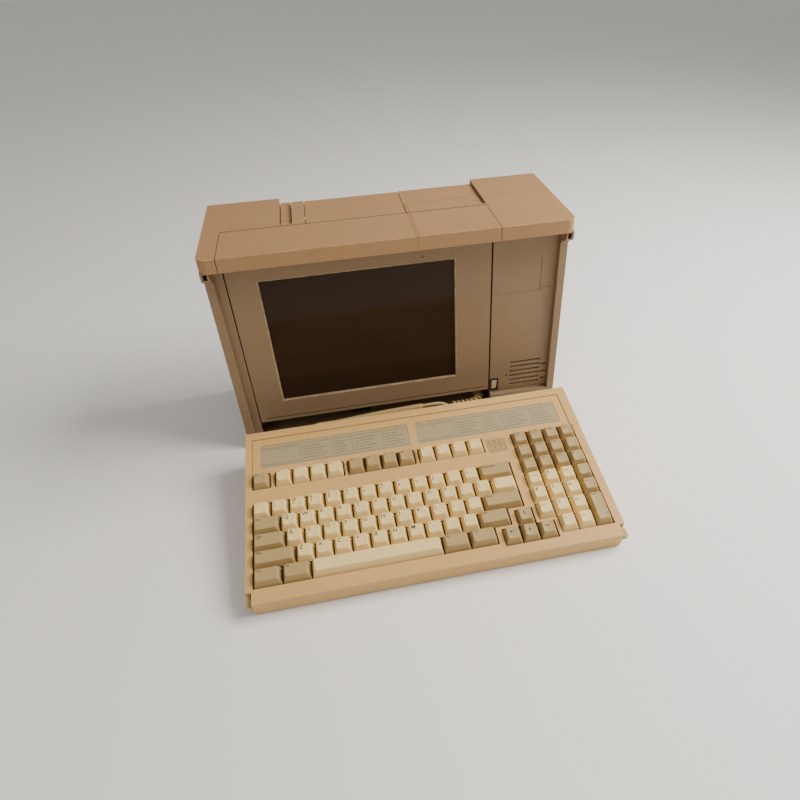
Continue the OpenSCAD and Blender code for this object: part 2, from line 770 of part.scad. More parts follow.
module keyboard_base() {
    color("#d2bf9f")
    on_slope()
    difference() {
        union() {
            intersection() {
                difference() {
                    keyboard_body();
                    keyboard_body(kb_skin);
                }
                block([kb_a0 - 1, kb_b0 - 1, -80], [kb_a1 + 1, kb_b1 + 1, seam_c - 0.2]);
            }
            // Posts that carry the circuit board
            for (a = [60, 180, 300], b = [20, 110])
                translate([a, b, base_c(b) + 1]) cylinder(h = board_c - base_c(b) - 1, r = 4, $fn = 32);
        }
        // Openings for the fold-out feet
        for (x = foot_x)
            block([x - kb_x - 15, foot_b - 34, -60], [x - kb_x + 15, foot_b + 7, -30]);
        latch_notches();
    }
    // Ears that hold the feet's pins
    color("#d2bf9f")
    for (x = foot_x, s = [-1, 1])
        difference() {
            union() {
                bar_x(x + s * ear_x - 1.6, x + s * ear_x + 1.6, foot_pin_y, foot_pin_z, 5);
                block([x + s * ear_x - 1.6, foot_pin_y - 5, 16.3],
                    [x + s * ear_x + 1.6, foot_pin_y + 5, foot_pin_z]);
            }
            bar_x(x + s * ear_x - 3, x + s * ear_x + 3, foot_pin_y, foot_pin_z, foot_pin_r + play);
        }
}

module keyboard_board() {
    color("#2f5d3a")
    on_slope() block([2, -6, board_c], [373, 134, plate_c]);
}

module label_strips() {
    color("#a9a795")
    on_slope()
    difference() {
        union() {
            block([9.6, 141.2, -1.2], [180, 172.8, -0.3]);
            block([190.2, 141.2, -1.2], [362.4, 172.8, -0.3]);
        }
        for (a = [24, 163, 203, 343]) block([a - 4, 170.8, -2], [a + 4, 174, 1]);
    }
}

module lamp_plate() {
    color("#c9bda0") on_slope() block([267.2, 112.6, -1.2], [289.8, 131.8, 0.4]);
    color("#6f8a3a")
    on_slope() for (i = [0 : 2]) block([271 + i * 6.6, 124, 0.4], [273.4 + i * 6.6, 128, 0.9]);
}

// Latch tongue at a front corner, with the stem it slides on; a0 is its left side
module latch_tongue(a0) {
    on_slope() {
        block([a0, kb_b0 + 0.6, -11], [a0 + 5.4, notch_b - 0.2 - latch_travel, -4.2]);
        block([a0 + 0.8, kb_b0 - 0.1, -8], [a0 + 4.6, kb_b0 + 0.6, -4.6]);
        block([a0 + 1.2, notch_b - 0.2 - latch_travel, -8.2], [a0 + 4.2, 2, -4.8]);
    }
}

module keyboard_latch_left() { color("#c2ae8d") latch_tongue(latch_a[0]); }

module keyboard_latch_right() { color("#c2ae8d") latch_tongue(latch_a[1]); }

// Fold-out foot, open: a plate standing on the table with a pin along its top edge
module tilt_foot(x) {
    color("#c2ae8d") {
        bar_x(x - 18.4, x + 18.4, foot_pin_y, foot_pin_z, foot_pin_r);
        difference() {
            block([x - foot_half_w, foot_pin_y - 2, 0], [x + foot_half_w, foot_pin_y + 2, foot_pin_z]);
            block([x - 8, foot_pin_y - 3, 5], [x + 8, foot_pin_y + 3, 12]);
        }
    }
}

module tilt_foot_left() { tilt_foot(foot_x[0]); }

module tilt_foot_right() { tilt_foot(foot_x[1]); }

module keyboard_feet() {
    color("#26221f")
    for (x = [-170, 170])
        translate([x, kb_y + 2, 0]) cylinder(h = 2.3, r = 6, $fn = 48);
}

module cord_relief() {
    color("#d8c9ac") on_slope() bar_y(kb_b1, relief_b1, relief_a, relief_c, relief_r);
}

// Where the cord leaves its strain relief
relief_end = [kb_x + relief_a, kb_y + relief_b1 * cos(kb_tilt) - relief_c * sin(kb_tilt),
    kb_z + relief_b1 * sin(kb_tilt) + relief_c * cos(kb_tilt)];

// Unit vector and a steady frame for a tube's rings
function unit(v) = v / norm(v);
function ring(p, t, r, n, side) =
    let (u = unit(cross(t, side)), w = cross(u, t))
    [for (i = [0 : n - 1]) p + r * (cos(i * 360 / n) * u + sin(i * 360 / n) * w)];

// A closed tube through points, with its direction and the side of its first vertex at each point
module tube(points, dirs, starts, r, n) {
    m = len(points);
    pts = [for (i = [0 : m - 1]) each ring(points[i], unit(dirs[i]), r, n, starts[i])];
    sides = [for (i = [0 : m - 2], j = [0 : n - 1])
        let (a = i * n + j, b = i * n + (j + 1) % n) each [[a, b, b + n], [a, b + n, a + n]]];
    ends = concat([for (j = [1 : n - 2]) [0, j + 1, j]],
        [for (j = [1 : n - 2]) [(m - 1) * n, (m - 1) * n + j, (m - 1) * n + j + 1]]);
    polyhedron(points = pts, faces = concat(sides, ends));
}

function steps(pts) = [for (i = [0 : len(pts) - 1])
    i == 0 ? unit(pts[1] - pts[0])
    : i == len(pts) - 1 ? unit(pts[i] - pts[i - 1])
    : unit(pts[i + 1] - pts[i - 1])];

module cord_lead() {
    last = len(lead_points) - 1;
    dirs = [for (i = [0 : last]) i == last ? [1, 0, 0] : steps(lead_points)[i]];
    color("#dccbad") tube(lead_points, dirs, [for (p = lead_points) [0, 0, 1]], lead_r, 10);
}

// Curled run: along +X, round a half circle, and back along -X inside the recess
coil_x0 = 62;
coil_x1 = 88;
coil_turn_r = 17;
coil_y = 65;
coil_z = 14;
coil_x2 = -26;
coil_back_y = coil_y + 2 * coil_turn_r;
socket_z = coil_z + curl_r;
lead_r = 3.2;
run_1 = coil_x1 - coil_x0;
run_2 = PI * coil_turn_r;
run_3 = coil_x1 - coil_x2;
coil_length = run_1 + run_2 + run_3;
curls = floor(coil_length / curl_pitch);
curl_rings = 8;

// Middle line of the coil at a distance along it, and its direction there
function coil_mid(s) =
    s <= run_1 ? [coil_x0 + s, coil_y, coil_z]
    : s <= run_1 + run_2
        ? let (t = (s - run_1) / run_2 * 180)
            [coil_x1 + coil_turn_r * sin(t), coil_y + coil_turn_r * (1 - cos(t)), coil_z]
        : [coil_x1 - (s - run_1 - run_2), coil_back_y, coil_z];
function coil_turn(s) = s <= run_1 ? 0 : s <= run_1 + run_2 ? (s - run_1) / run_2 * 180 : 180;
function coil_side(s) = let (t = coil_turn(s)) [sin(t), -cos(t), 0];
function curl_point(s) =
    let (w = s / curl_pitch * 360)
    coil_mid(s) + curl_r * (cos(w) * [0, 0, 1] + sin(w) * coil_side(s));
coil_stations = [for (i = [0 : curls * curl_rings]) i * curl_pitch / curl_rings];
coil_inner = [for (s = coil_stations) curl_point(s)];

// Sleeved lead from the relief along the recess, and the bare cord from it to the first curl
lead_points = [relief_end, relief_end + 4 * [0, cos(kb_tilt), sin(kb_tilt)],
    [-117, 43, 31.5], [-113, 50, 28], [-106, 56, 23], [-97, 60, 19.6],
    [-85, 61, 19.2], [-60, 61, 21], [-30, 61, 23], [0, 61, 24.2], [24, 61.5, 24.6]];
bare_points = [lead_points[len(lead_points) - 1], [34, 62, 24.6], [44, 63, 23.6], [51, 64, 21.4],
    [coil_x0 - cord_d, coil_y, socket_z]];
coil_points = concat(bare_points, coil_inner, [coil_inner[len(coil_inner) - 1] - [cord_d, 0, 0]]);
first_curl = len(bare_points);

module cord_coil() {
    n = len(coil_points);
    d = steps(coil_points);
    ends_square = [for (i = [0 : n - 1])
        i == first_curl - 1 ? [1, 0, 0] : i == n - 1 ? [-1, 0, 0] : d[i]];
    inward = [for (i = [0 : n - 1]) let (k = min(i - first_curl, len(coil_stations) - 1))
        k < 0 ? [0, 0, 1] : coil_points[i] - coil_mid(coil_stations[k])];
    color("#dccbad") tube(coil_points, ends_square, inward, cord_d / 2, 6);
}

// Least clear gap between neighbouring curls, on the sampled middle line
coil_gap = min([for (i = [0 : len(coil_inner) - 1 - curl_rings])
    norm(coil_inner[i + curl_rings] - coil_inner[i])]) - cord_d;
echo(curls = curls, coil_gap = coil_gap);

module cord_plug() {
    plug_end = coil_points[len(coil_points) - 1];
    color("#2b2724") {
        bar_x(plug_x, plug_end[0], coil_back_y, socket_z, plug_r);
        bar_x(plug_x - 10, plug_x, coil_back_y, socket_z, spigot_r);
    }
}

module function_keys() { color("#e6d6b8") on_slope() cap_row(function_row); }

module number_row_keys() { color("#e6d6b8") on_slope() cap_row([4, number_row]); }

module letter_keys() { color("#e6d6b8") on_slope() for (r = letter_rows) cap_row(r); }

module modifier_keys() { color("#b8a483") on_slope() for (r = modifier_rows) cap_row(r); }

module enter_key() { color("#b8a483") on_slope() cap_row(enter_row); }

module space_bar() { color("#e6d6b8") on_slope() cap_row(space_row); }

module arrow_keys() {
    color("#b8a483") on_slope() {
        cap_row(arrow_low);
        cap_row(arrow_up);
    }
}

module numpad_keys() { color("#e6d6b8") on_slope() for (r = pad_cream_rows) cap_row(r); }

module control_pad_keys() {
    color("#b8a483") on_slope() {
        for (r = pad_tan_rows) cap_row(r);
        cap_row([0, [pad_enter]], 2);
    }
}

base_tray();
left_side_shell();
right_side_shell();
rear_cover();
top_cover();
bay_bulkhead();
bay_divider();
front_panel();
switch_frame();
power_rocker();
loudspeaker();
power_supply();
main_board();
expansion_card();
hard_drive();
floppy_drive();
eject_button();
mains_inlet();
port_plate();
keyboard_socket();
case_feet();
case_screws();
hinge_frame();
lift_pin();
handle_pins();
carry_handle();
handle_grip();
lift_arm();
tilt_pin();
display_cap();
display_bezel();
display_window();
display_panel();
display_board();
display_back();
display_screws();
keyboard_top();
keyboard_base();
key_switches();
keyboard_board();
label_strips();
lamp_plate();
keyboard_latch_left();
keyboard_latch_right();
tilt_foot_left();
tilt_foot_right();
keyboard_feet();
cord_relief();
cord_lead();
cord_coil();
cord_plug();
function_keys();
number_row_keys();
letter_keys();
modifier_keys();
enter_key();
space_bar();
arrow_keys();
numpad_keys();
control_pad_keys();
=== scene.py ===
"""Looks of the luggable computer: case, display, carry handle, keyboard and curly cord."""

import math

import bmesh
import bpy
from mathutils import Matrix, Vector


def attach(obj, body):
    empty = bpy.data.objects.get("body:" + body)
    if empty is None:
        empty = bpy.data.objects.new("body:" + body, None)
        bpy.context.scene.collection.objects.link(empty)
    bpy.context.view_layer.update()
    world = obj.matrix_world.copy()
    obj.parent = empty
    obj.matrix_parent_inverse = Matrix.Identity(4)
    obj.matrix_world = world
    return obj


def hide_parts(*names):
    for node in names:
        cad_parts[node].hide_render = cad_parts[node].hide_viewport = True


bl_info = {
    "name": "Luggable computer",
    "version": (1, 0, 0),
    "blender": (4, 5, 0),
    "location": "View3D > Sidebar > Luggable",
    "description": "Builds the looks of a luggable computer around its packed parts",
    "category": "Object",
}

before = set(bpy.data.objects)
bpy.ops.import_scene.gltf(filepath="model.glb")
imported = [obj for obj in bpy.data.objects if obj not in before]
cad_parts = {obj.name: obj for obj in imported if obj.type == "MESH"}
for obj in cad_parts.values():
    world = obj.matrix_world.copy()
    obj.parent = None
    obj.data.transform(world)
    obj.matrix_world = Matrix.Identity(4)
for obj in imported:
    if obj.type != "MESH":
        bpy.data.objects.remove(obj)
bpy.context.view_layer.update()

MM = 0.001
SLOPE = math.radians(10)
KEYBOARD = Matrix.Translation(Vector((-186.7, -174.5, 25.1)) * MM) @ Matrix.Rotation(SLOPE, 4, "X")
PITCH = 19.05
CAP_LOW = -2.7
CAP_RISE = 6.5
FACE_Y = 64.0
CASE_TOP = 273.0


def srgb(red, green, blue):
    """A colour given as 0 to 255 screen values, as the linear values that shaders use."""

    def linear(channel):
        channel /= 255
        return channel / 12.92 if channel <= 0.04045 else ((channel + 0.055) / 1.055) ** 2.4

    return (linear(red), linear(green), linear(blue), 1.0)


# Meshes


def smooth_by_area(mesh, angle):
    """Smooth shading in which large flat faces keep their own direction next to narrow rounds."""
    mesh.polygons.foreach_set("use_smooth", [True] * len(mesh.polygons))
    faces = [(face.normal.copy(), face.area) for face in mesh.polygons]
    around = [[] for _ in mesh.vertices]
    for index, face in enumerate(mesh.polygons):
        for vertex in face.vertices:
            around[vertex].append(index)
    limit = math.cos(math.radians(angle))
    normals = []
    for index, face in enumerate(mesh.polygons):
        own = faces[index][0]
        for vertex in face.vertices:
            total = Vector()
            for other in around[vertex]:
                normal, area = faces[other]
                if normal.dot(own) > limit:
                    total += normal * area
            normals.append(total.normalized() if total.length else own)
    mesh.normals_split_custom_set(normals)


def add_object(name, mesh, material, body, replaced=(), smooth_angle=32):
    """Links a mesh as a piece on a body and gives it a material."""
    smooth_by_area(mesh, smooth_angle)
    mesh.materials.clear()
    mesh.materials.append(material)
    piece = bpy.data.objects.new(name, mesh)
    bpy.context.scene.collection.objects.link(piece)
    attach(piece, body)
    if replaced:
        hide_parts(*replaced)
    return piece


def add_mesh(name, bm, material, body, replaced=(), smooth_angle=32):
    """Turns a bmesh into a piece that rides on a body."""
    bmesh.ops.recalc_face_normals(bm, faces=bm.faces)
    mesh = bpy.data.meshes.new(name)
    bm.to_mesh(mesh)
    bm.free()
    return add_object(name, mesh, material, body, replaced, smooth_angle)


def block(bm, low, high, place=None):
    """Adds a box between two corners, in millimetres."""
    place = place or Matrix.Identity(4)
    corners = [(x, y, z) for x in (low[0], high[0]) for y in (low[1], high[1]) for z in (low[2], high[2])]
    verts = [bm.verts.new(place @ (Vector(c) * MM)) for c in corners]
    for face in ((0, 1, 3, 2), (4, 6, 7, 5), (0, 4, 5, 1), (2, 3, 7, 6), (0, 2, 6, 4), (1, 5, 7, 3)):
        bm.faces.new([verts[i] for i in face])


def mark_layer(bm):
    """The face layer that tells rounded edges from flat faces, for the pale edge colour, which is partly edge
    wear and partly painted highlight.
    """
    return bm.faces.layers.float.get("wear_and_sheen") or bm.faces.layers.float.new("wear_and_sheen")


def blocks(boxes, place=None):
    """A bmesh of several boxes, each given by its two corners."""
    bm = bmesh.new()
    mark_layer(bm)
    for low, high in boxes:
        block(bm, low, high, place)
    bmesh.ops.recalc_face_normals(bm, faces=bm.faces)
    return bm


def bevel_edges(bm, chosen, width, segments=3):
    """Rounds the chosen edges by a width in millimetres and marks narrow rounds for the pale edge colour,
    partly edge wear and partly painted highlight.
    """
    if chosen:
        made = bmesh.ops.bevel(
            bm, geom=chosen, offset=width * MM, offset_type="OFFSET", segments=segments,
            profile=0.5, affect="EDGES", clamp_overlap=True,
        )
        wear_and_sheen = mark_layer(bm)
        for face in made["faces"] if width < 3 else ():
            face[wear_and_sheen] = 1.0


def sharp_edges(bm, angle=30):
    """Edges between faces that meet at more than an angle."""
    return [e for e in bm.edges if len(e.link_faces) == 2 and e.calc_face_angle(0) > math.radians(angle)]


def clean(bm):
    """Joins doubled points and flat neighbouring faces."""
    bmesh.ops.remove_doubles(bm, verts=bm.verts, dist=2e-6)
    bmesh.ops.dissolve_limit(
        bm, angle_limit=math.radians(1), verts=bm.verts, edges=bm.edges, delimit=set()
    )


def solid_of(node):
    """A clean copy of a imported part's mesh, ready for rounding."""
    bm = bmesh.new()
    bm.from_mesh(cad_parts[node].data)
    clean(bm)
    mark_layer(bm)
    return bm


def carve(bm, cutter, operation="DIFFERENCE"):
    """The first bmesh with the second one cut out of it."""
    made = []
    for name, part in (("carve_target", bm), ("carve_tool", cutter)):
        mesh = bpy.data.meshes.new(name)
        part.to_mesh(mesh)
        part.free()
        made.append(bpy.data.objects.new(name, mesh))
        bpy.context.scene.collection.objects.link(made[-1])
    modifier = made[0].modifiers.new("carve", "BOOLEAN")
    modifier.operation = operation
    modifier.object = made[1]
    modifier.solver = "EXACT"
    modifier.use_self = True
    graph = bpy.context.evaluated_depsgraph_get()
    result = bmesh.new()
    result.from_mesh(bpy.data.meshes.new_from_object(made[0].evaluated_get(graph)))
    for helper in made:
        bpy.data.objects.remove(helper)
    clean(result)
    return result


def rounded(name, node, material, body, fine=0.5, rounds=(), cuts=(), place=None):
    """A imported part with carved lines, chosen large rounds and every other edge softened.

    Each round is (test, width, segments), where test takes an edge's middle and its direction,
    and each cut is a box given by two corners."""
    bm = solid_of(node)
    if cuts:
        bm = carve(bm, blocks(cuts, place))
        mark_layer(bm)
    for test, width, segments in rounds:
        chosen = []
        for edge in sharp_edges(bm):
            a, b = (v.co / MM for v in edge.verts)
            if test((a + b) / 2, (b - a).normalized()):
                chosen.append(edge)
        bevel_edges(bm, chosen, width, segments)
    bevel_edges(bm, sharp_edges(bm), fine, 2)
    return add_mesh(name, bm, material, body, (node,))


def lathe(profile, segments=48):
    """A turned solid about the X axis from (x, radius) points in millimetres."""
    bm = bmesh.new()
    rings = []
    for x, radius in profile:
        rings.append([
            bm.verts.new(Vector((x, radius * math.cos(t), radius * math.sin(t))) * MM)
            for t in (2 * math.pi * i / segments for i in range(segments))
        ])
    for near, far in zip(rings, rings[1:]):
        for i in range(segments):
            j = (i + 1) % segments
            bm.faces.new((near[i], near[j], far[j], far[i]))
    bm.faces.new(rings[0])
    bm.faces.new(rings[-1])
    return bm


# Shader groups


def new_group(name, inputs, outputs):
    """An empty shader group with named sockets, each given as (type, name, default)."""
    group = bpy.data.node_groups.new(name, "ShaderNodeTree")
    for kind, label, default in inputs:
        socket = group.interface.new_socket(label, in_out="INPUT", socket_type=kind)
        socket.default_value = default
    for kind, label in outputs:
        group.interface.new_socket(label, in_out="OUTPUT", socket_type=kind)
    return group, group.nodes.new("NodeGroupInput"), group.nodes.new("NodeGroupOutput")


def math_node(nodes, links, operation, first, second=None, clamp=False):
    """A math node fed by sockets or plain numbers, and its output."""
    node = nodes.new("ShaderNodeMath")
    node.operation = operation
    node.use_clamp = clamp
    for index, value in enumerate((first, second)):
        if isinstance(value, (int, float)):
            node.inputs[index].default_value = value
        elif value is not None:
            links.new(value, node.inputs[index])
    return node.outputs[0]


def noise_node(nodes, links, scale, detail=3.0, roughness=0.55, vector=None):
    """A noise texture over the object's own space, and its value output."""
    node = nodes.new("ShaderNodeTexNoise")
    node.inputs["Detail"].default_value = detail
    node.inputs["Roughness"].default_value = roughness
    if isinstance(scale, (int, float)):
        node.inputs["Scale"].default_value = scale
    else:
        links.new(scale, node.inputs["Scale"])
    if vector is not None:
        links.new(vector, node.inputs["Vector"])
    return node.outputs["Fac"]


def ramp(nodes, links, value, low, high):
    """A smooth step of a value from low to high."""
    node = nodes.new("ShaderNodeMapRange")
    node.interpolation_type = "SMOOTHSTEP"
    node.inputs["From Min"].default_value = low
    node.inputs["From Max"].default_value = high
    links.new(value, node.inputs["Value"])
    return node.outputs["Result"]


def mix_colour(nodes, links, factor, first, second):
    """Two colours mixed by a factor."""
    node = nodes.new("ShaderNodeMix")
    node.data_type = "RGBA"
    if isinstance(factor, (int, float)):
        node.inputs["Factor"].default_value = factor
    else:
        links.new(factor, node.inputs["Factor"])
    for socket, value in ((node.inputs[6], first), (node.inputs[7], second)):
        if isinstance(value, tuple):
            socket.default_value = value
        else:
            links.new(value, socket)
    return node.outputs[2]


def grain_group():
    """Spark-eroded moulding texture: fine pebbles over a soft waviness."""
    group, source, sink = new_group(
        "Moulded grain",
        [("NodeSocketFloat", "Pebble scale", 1500.0), ("NodeSocketFloat", "Waviness", 0.3)],
        [("NodeSocketFloat", "Height")],
    )
    nodes, links = group.nodes, group.links
    place = nodes.new("ShaderNodeTexCoord").outputs["Object"]
    pebbles = noise_node(nodes, links, source.outputs["Pebble scale"], 2.0, 0.5, place)
    waves = noise_node(nodes, links, 38.0, 2.0, 0.5, place)
    soft = math_node(nodes, links, "MULTIPLY", waves, source.outputs["Waviness"])
    height = math_node(nodes, links, "ADD", pebbles, soft)
    links.new(height, sink.inputs["Height"])
    return group


def ageing_group():
    """Uneven yellowing, with faint grime, and pale narrow rounds that are partly edge wear and partly painted
    highlight.
    """
    colour, number = "NodeSocketColor", "NodeSocketFloat"
    group, source, sink = new_group(
        "Aged plastic",
        [
            (colour, "Fresh", (0.5, 0.4, 0.3, 1)), (colour, "Yellowed", (0.4, 0.3, 0.2, 1)),
            (colour, "Rubbed", (0.6, 0.5, 0.4, 1)), (colour, "Grime", (0.1, 0.08, 0.06, 1)),
            (number, "Yellowing", 0.5), (number, "Rubbing", 0.5), (number, "Soiling", 0.3),
        ],
        [(colour, "Color"), (number, "Roughness shift")],
    )
    nodes, links = group.nodes, group.links
    place = nodes.new("ShaderNodeTexCoord").outputs["Object"]
    broad = ramp(nodes, links, noise_node(nodes, links, 5.0, 2.0, 0.5, place), 0.3, 0.72)
    patches = math_node(nodes, links, "MULTIPLY", broad, source.outputs["Yellowing"])
    aged = mix_colour(nodes, links, patches, source.outputs["Fresh"], source.outputs["Yellowed"])
    mottle = ramp(nodes, links, noise_node(nodes, links, 70.0, 4.0, 0.65, place), 0.35, 0.8)
    specks = ramp(nodes, links, noise_node(nodes, links, 420.0, 2.0, 0.5, place), 0.66, 0.74)
    stains = math_node(nodes, links, "MULTIPLY", mottle, 0.16)
    stains = math_node(nodes, links, "ADD", stains, math_node(nodes, links, "MULTIPLY", specks, 0.14))
    wear_and_sheen = nodes.new("ShaderNodeAttribute")
    wear_and_sheen.attribute_name = "wear_and_sheen"
    cleaned = math_node(nodes, links, "MULTIPLY", wear_and_sheen.outputs["Fac"], 0.1)
    soil = math_node(nodes, links, "SUBTRACT", stains, cleaned)
    soil = math_node(nodes, links, "MULTIPLY", soil, source.outputs["Soiling"], clamp=True)
    soiled = mix_colour(nodes, links, soil, aged, source.outputs["Grime"])
    # Pale colour on the narrow rounds, broken by noise: partly edge wear, partly painted highlight.
    broken = ramp(nodes, links, noise_node(nodes, links, 130.0, 4.0, 0.7, place), 0.38, 0.6)
    rub_sheen = math_node(nodes, links, "MULTIPLY", wear_and_sheen.outputs["Fac"], broken)
    rub_sheen = math_node(nodes, links, "MULTIPLY", rub_sheen, source.outputs["Rubbing"], clamp=True)
    links.new(mix_colour(nodes, links, rub_sheen, soiled, source.outputs["Rubbed"]), sink.inputs["Color"])
    shift = math_node(nodes, links, "MULTIPLY", mottle, 0.12)
    shift = math_node(nodes, links, "SUBTRACT", shift, math_node(nodes, links, "MULTIPLY", rub_sheen, 0.12))
    links.new(shift, sink.inputs["Roughness shift"])
    return group


def brushed_group():
    """Fine drawn lines along X, as on rolled or drawn metal."""
    group, source, sink = new_group(
        "Drawn metal lines",
        [("NodeSocketFloat", "Line scale", 900.0)],
        [("NodeSocketFloat", "Height"), ("NodeSocketFloat", "Tone")],
    )
    nodes, links = group.nodes, group.links
    place = nodes.new("ShaderNodeTexCoord").outputs["Object"]
    stretch = nodes.new("ShaderNodeVectorMath")
    stretch.operation = "MULTIPLY"
    stretch.inputs[1].default_value = (0.03, 1.0, 1.0)
    links.new(place, stretch.inputs[0])
    lines = noise_node(nodes, links, source.outputs["Line scale"], 2.0, 0.5, stretch.outputs[0])
    links.new(lines, sink.inputs["Height"])
    links.new(noise_node(nodes, links, 55.0, 3.0, 0.6, place), sink.inputs["Tone"])
    return group


def shared_group(name, maker):
    """A shader group by name, made the first time it is asked for."""
    return bpy.data.node_groups.get(name) or maker()


def start_material(name, roughness, metallic=0.0):
    """A material with an empty Principled BSDF, its nodes and its links."""
    material = bpy.data.materials.new(name)
    material.use_nodes = True
    nodes, links = material.node_tree.nodes, material.node_tree.links
    shader = nodes["Principled BSDF"]
    shader.inputs["Roughness"].default_value = roughness
    shader.inputs["Metallic"].default_value = metallic
    return material, nodes, links, shader


def place_group(nodes, name, maker, **values):
    """A shader group placed in a material with its own values."""
    node = nodes.new("ShaderNodeGroup")
    node.node_tree = shared_group(name, maker)
    for label, value in values.items():
        node.inputs[label.replace("_", " ")].default_value = value
    return node


def moulded(name, fresh, yellowed, rubbed_sheen, grime, rough=0.5, yellowing=0.5, rubbing_sheen=0.5, soiling=0.25,
            pebbles=1500.0, depth=0.05, waviness=0.35, specular=0.4, coat=0.0):
    """Aged moulded plastic: uneven tone, pale edges that are partly edge wear and partly painted highlight,
    grime and a pebbled skin.
    """
    found = bpy.data.materials.get(name)
    if found:
        return found
    material, nodes, links, shader = start_material(name, rough)
    shader.inputs["Specular IOR Level"].default_value = specular
    shader.inputs["Coat Weight"].default_value = coat
    shader.inputs["Coat Roughness"].default_value = 0.25
    aged = place_group(
        nodes, "Aged plastic", ageing_group, Fresh=fresh, Yellowed=yellowed, Rubbed=rubbed_sheen,
        Grime=grime, Yellowing=yellowing, Rubbing=rubbing_sheen, Soiling=soiling,
    )
    links.new(aged.outputs["Color"], shader.inputs["Base Color"])
    total = math_node(nodes, links, "ADD", aged.outputs["Roughness shift"], rough)
    links.new(total, shader.inputs["Roughness"])
    grain = place_group(nodes, "Moulded grain", grain_group, Pebble_scale=pebbles, Waviness=waviness)
    bump = nodes.new("ShaderNodeBump")
    bump.inputs["Strength"].default_value = 0.55
    bump.inputs["Distance"].default_value = depth * MM
    links.new(grain.outputs["Height"], bump.inputs["Height"])
    links.new(bump.outputs["Normal"], shader.inputs["Normal"])
    return material


def metal(name, colour, dull, rough=0.35, lines=900.0):
    """Drawn or plated sheet metal with fine lines and an uneven tone."""
    found = bpy.data.materials.get(name)
    if found:
        return found
    material, nodes, links, shader = start_material(name, rough, 0.9)
    drawn = place_group(nodes, "Drawn metal lines", brushed_group, Line_scale=lines)
    tone = ramp(nodes, links, drawn.outputs["Tone"], 0.35, 0.7)
    links.new(mix_colour(nodes, links, tone, colour, dull), shader.inputs["Base Color"])
    bump = nodes.new("ShaderNodeBump")
    bump.inputs["Strength"].default_value = 0.4
    bump.inputs["Distance"].default_value = 0.02 * MM
    links.new(drawn.outputs["Height"], bump.inputs["Height"])
    links.new(bump.outputs["Normal"], shader.inputs["Normal"])
    return material


def cover_plastic():
    """Top mouldings: the darkest and most faded of the tan plastics."""
    looks = bpy.context.scene.luggable_case
    return moulded(
        "top cover plastic", tuple(looks.cover_tone), srgb(151, 114, 76), srgb(215, 181, 130),
        srgb(67, 51, 40), rough=0.5, yellowing=0.35, rubbing_sheen=0.8, soiling=0.25, pebbles=1300, depth=0.05,
    )


def case_plastic():
    """Side, front and display mouldings."""
    looks = bpy.context.scene.luggable_case
    return moulded(
        "case plastic", tuple(looks.case_tone), srgb(126, 103, 75), srgb(177, 158, 128),
        srgb(60, 48, 39), rough=0.52, yellowing=0.3, rubbing_sheen=0.6, soiling=0.2, pebbles=1500, depth=0.05,
    )


def shadow_plastic():
    """Darker mouldings inside and under the case."""
    return moulded(
        "inner case plastic", srgb(139, 119, 92), srgb(126, 104, 79), srgb(162, 147, 120),
        srgb(57, 46, 37), rough=0.6, soiling=0.2,
    )


def cream_plastic():
    """Keyboard shell mouldings."""
    looks = bpy.context.scene.luggable_keyboard
    return moulded(
        "keyboard plastic", tuple(looks.shell_tone), srgb(196, 154, 93), srgb(223, 189, 128),
        srgb(117, 86, 54), rough=0.45, yellowing=0.35, rubbing_sheen=0.4, soiling=0.12, pebbles=1700, depth=0.03,
    )


def cream_cap_plastic():
    """Pale key caps, a little polished by fingers."""
    looks = bpy.context.scene.luggable_keyboard
    return moulded(
        "pale cap plastic", tuple(looks.cap_tone), srgb(227, 196, 131), srgb(253, 236, 184),
        srgb(112, 84, 55), rough=0.4, yellowing=0.35, rubbing_sheen=0.3, soiling=0.1, pebbles=2400, depth=0.02,
    )


def tan_cap_plastic():
    """Darker key caps of the modifier, arrow and control keys."""
    looks = bpy.context.scene.luggable_keyboard
    return moulded(
        "tan cap plastic", tuple(looks.tan_cap_tone), srgb(165, 136, 88), srgb(201, 178, 127),
        srgb(77, 58, 40), rough=0.42, yellowing=0.35, rubbing_sheen=0.35, soiling=0.12, pebbles=2400, depth=0.02,
    )


def ink():
    """Dark brown printing ink of the key legends."""
    found = bpy.data.materials.get("legend ink")
    if found:
        return found
    material, nodes, links, shader = start_material("legend ink", 0.6)
    wear = ramp(nodes, links, noise_node(nodes, links, 900.0, 3.0, 0.6), 0.62, 0.8)
    links.new(mix_colour(nodes, links, wear, srgb(30, 21, 16), srgb(62, 46, 34)), shader.inputs["Base Color"])
    return material


def strip_ink():
    """Faded grey ink of the ruled lines on the label strips."""
    found = bpy.data.materials.get("faded strip ink")
    if found:
        return found
    material, nodes, links, shader = start_material("faded strip ink", 0.5)
    wear = ramp(nodes, links, noise_node(nodes, links, 500.0, 3.0, 0.6), 0.4, 0.7)
    links.new(mix_colour(nodes, links, wear, srgb(62, 56, 46), srgb(96, 88, 72)), shader.inputs["Base Color"])
    return material


def rocker_plastic():
    """Pale grey moulding of the power rocker."""
    return moulded(
        "rocker plastic", srgb(203, 186, 152), srgb(188, 170, 134), srgb(219, 205, 176), srgb(110, 95, 78),
        rough=0.45, soiling=0.15, pebbles=1700, depth=0.03,
    )


def black_plastic():
    """Black moulded fittings."""
    return moulded(
        "black fitting plastic", srgb(40, 33, 29), srgb(34, 28, 24), srgb(86, 76, 68), srgb(18, 14, 12),
        rough=0.42, soiling=0.2, pebbles=1800, depth=0.03,
    )


def rubber():
    """Matt rubber of the feet and the carry grip."""
    return moulded(
        "rubber", srgb(38, 34, 31), srgb(46, 40, 35), srgb(78, 70, 62), srgb(20, 17, 15),
        rough=0.78, soiling=0.35, pebbles=1100, depth=0.08, specular=0.25,
    )


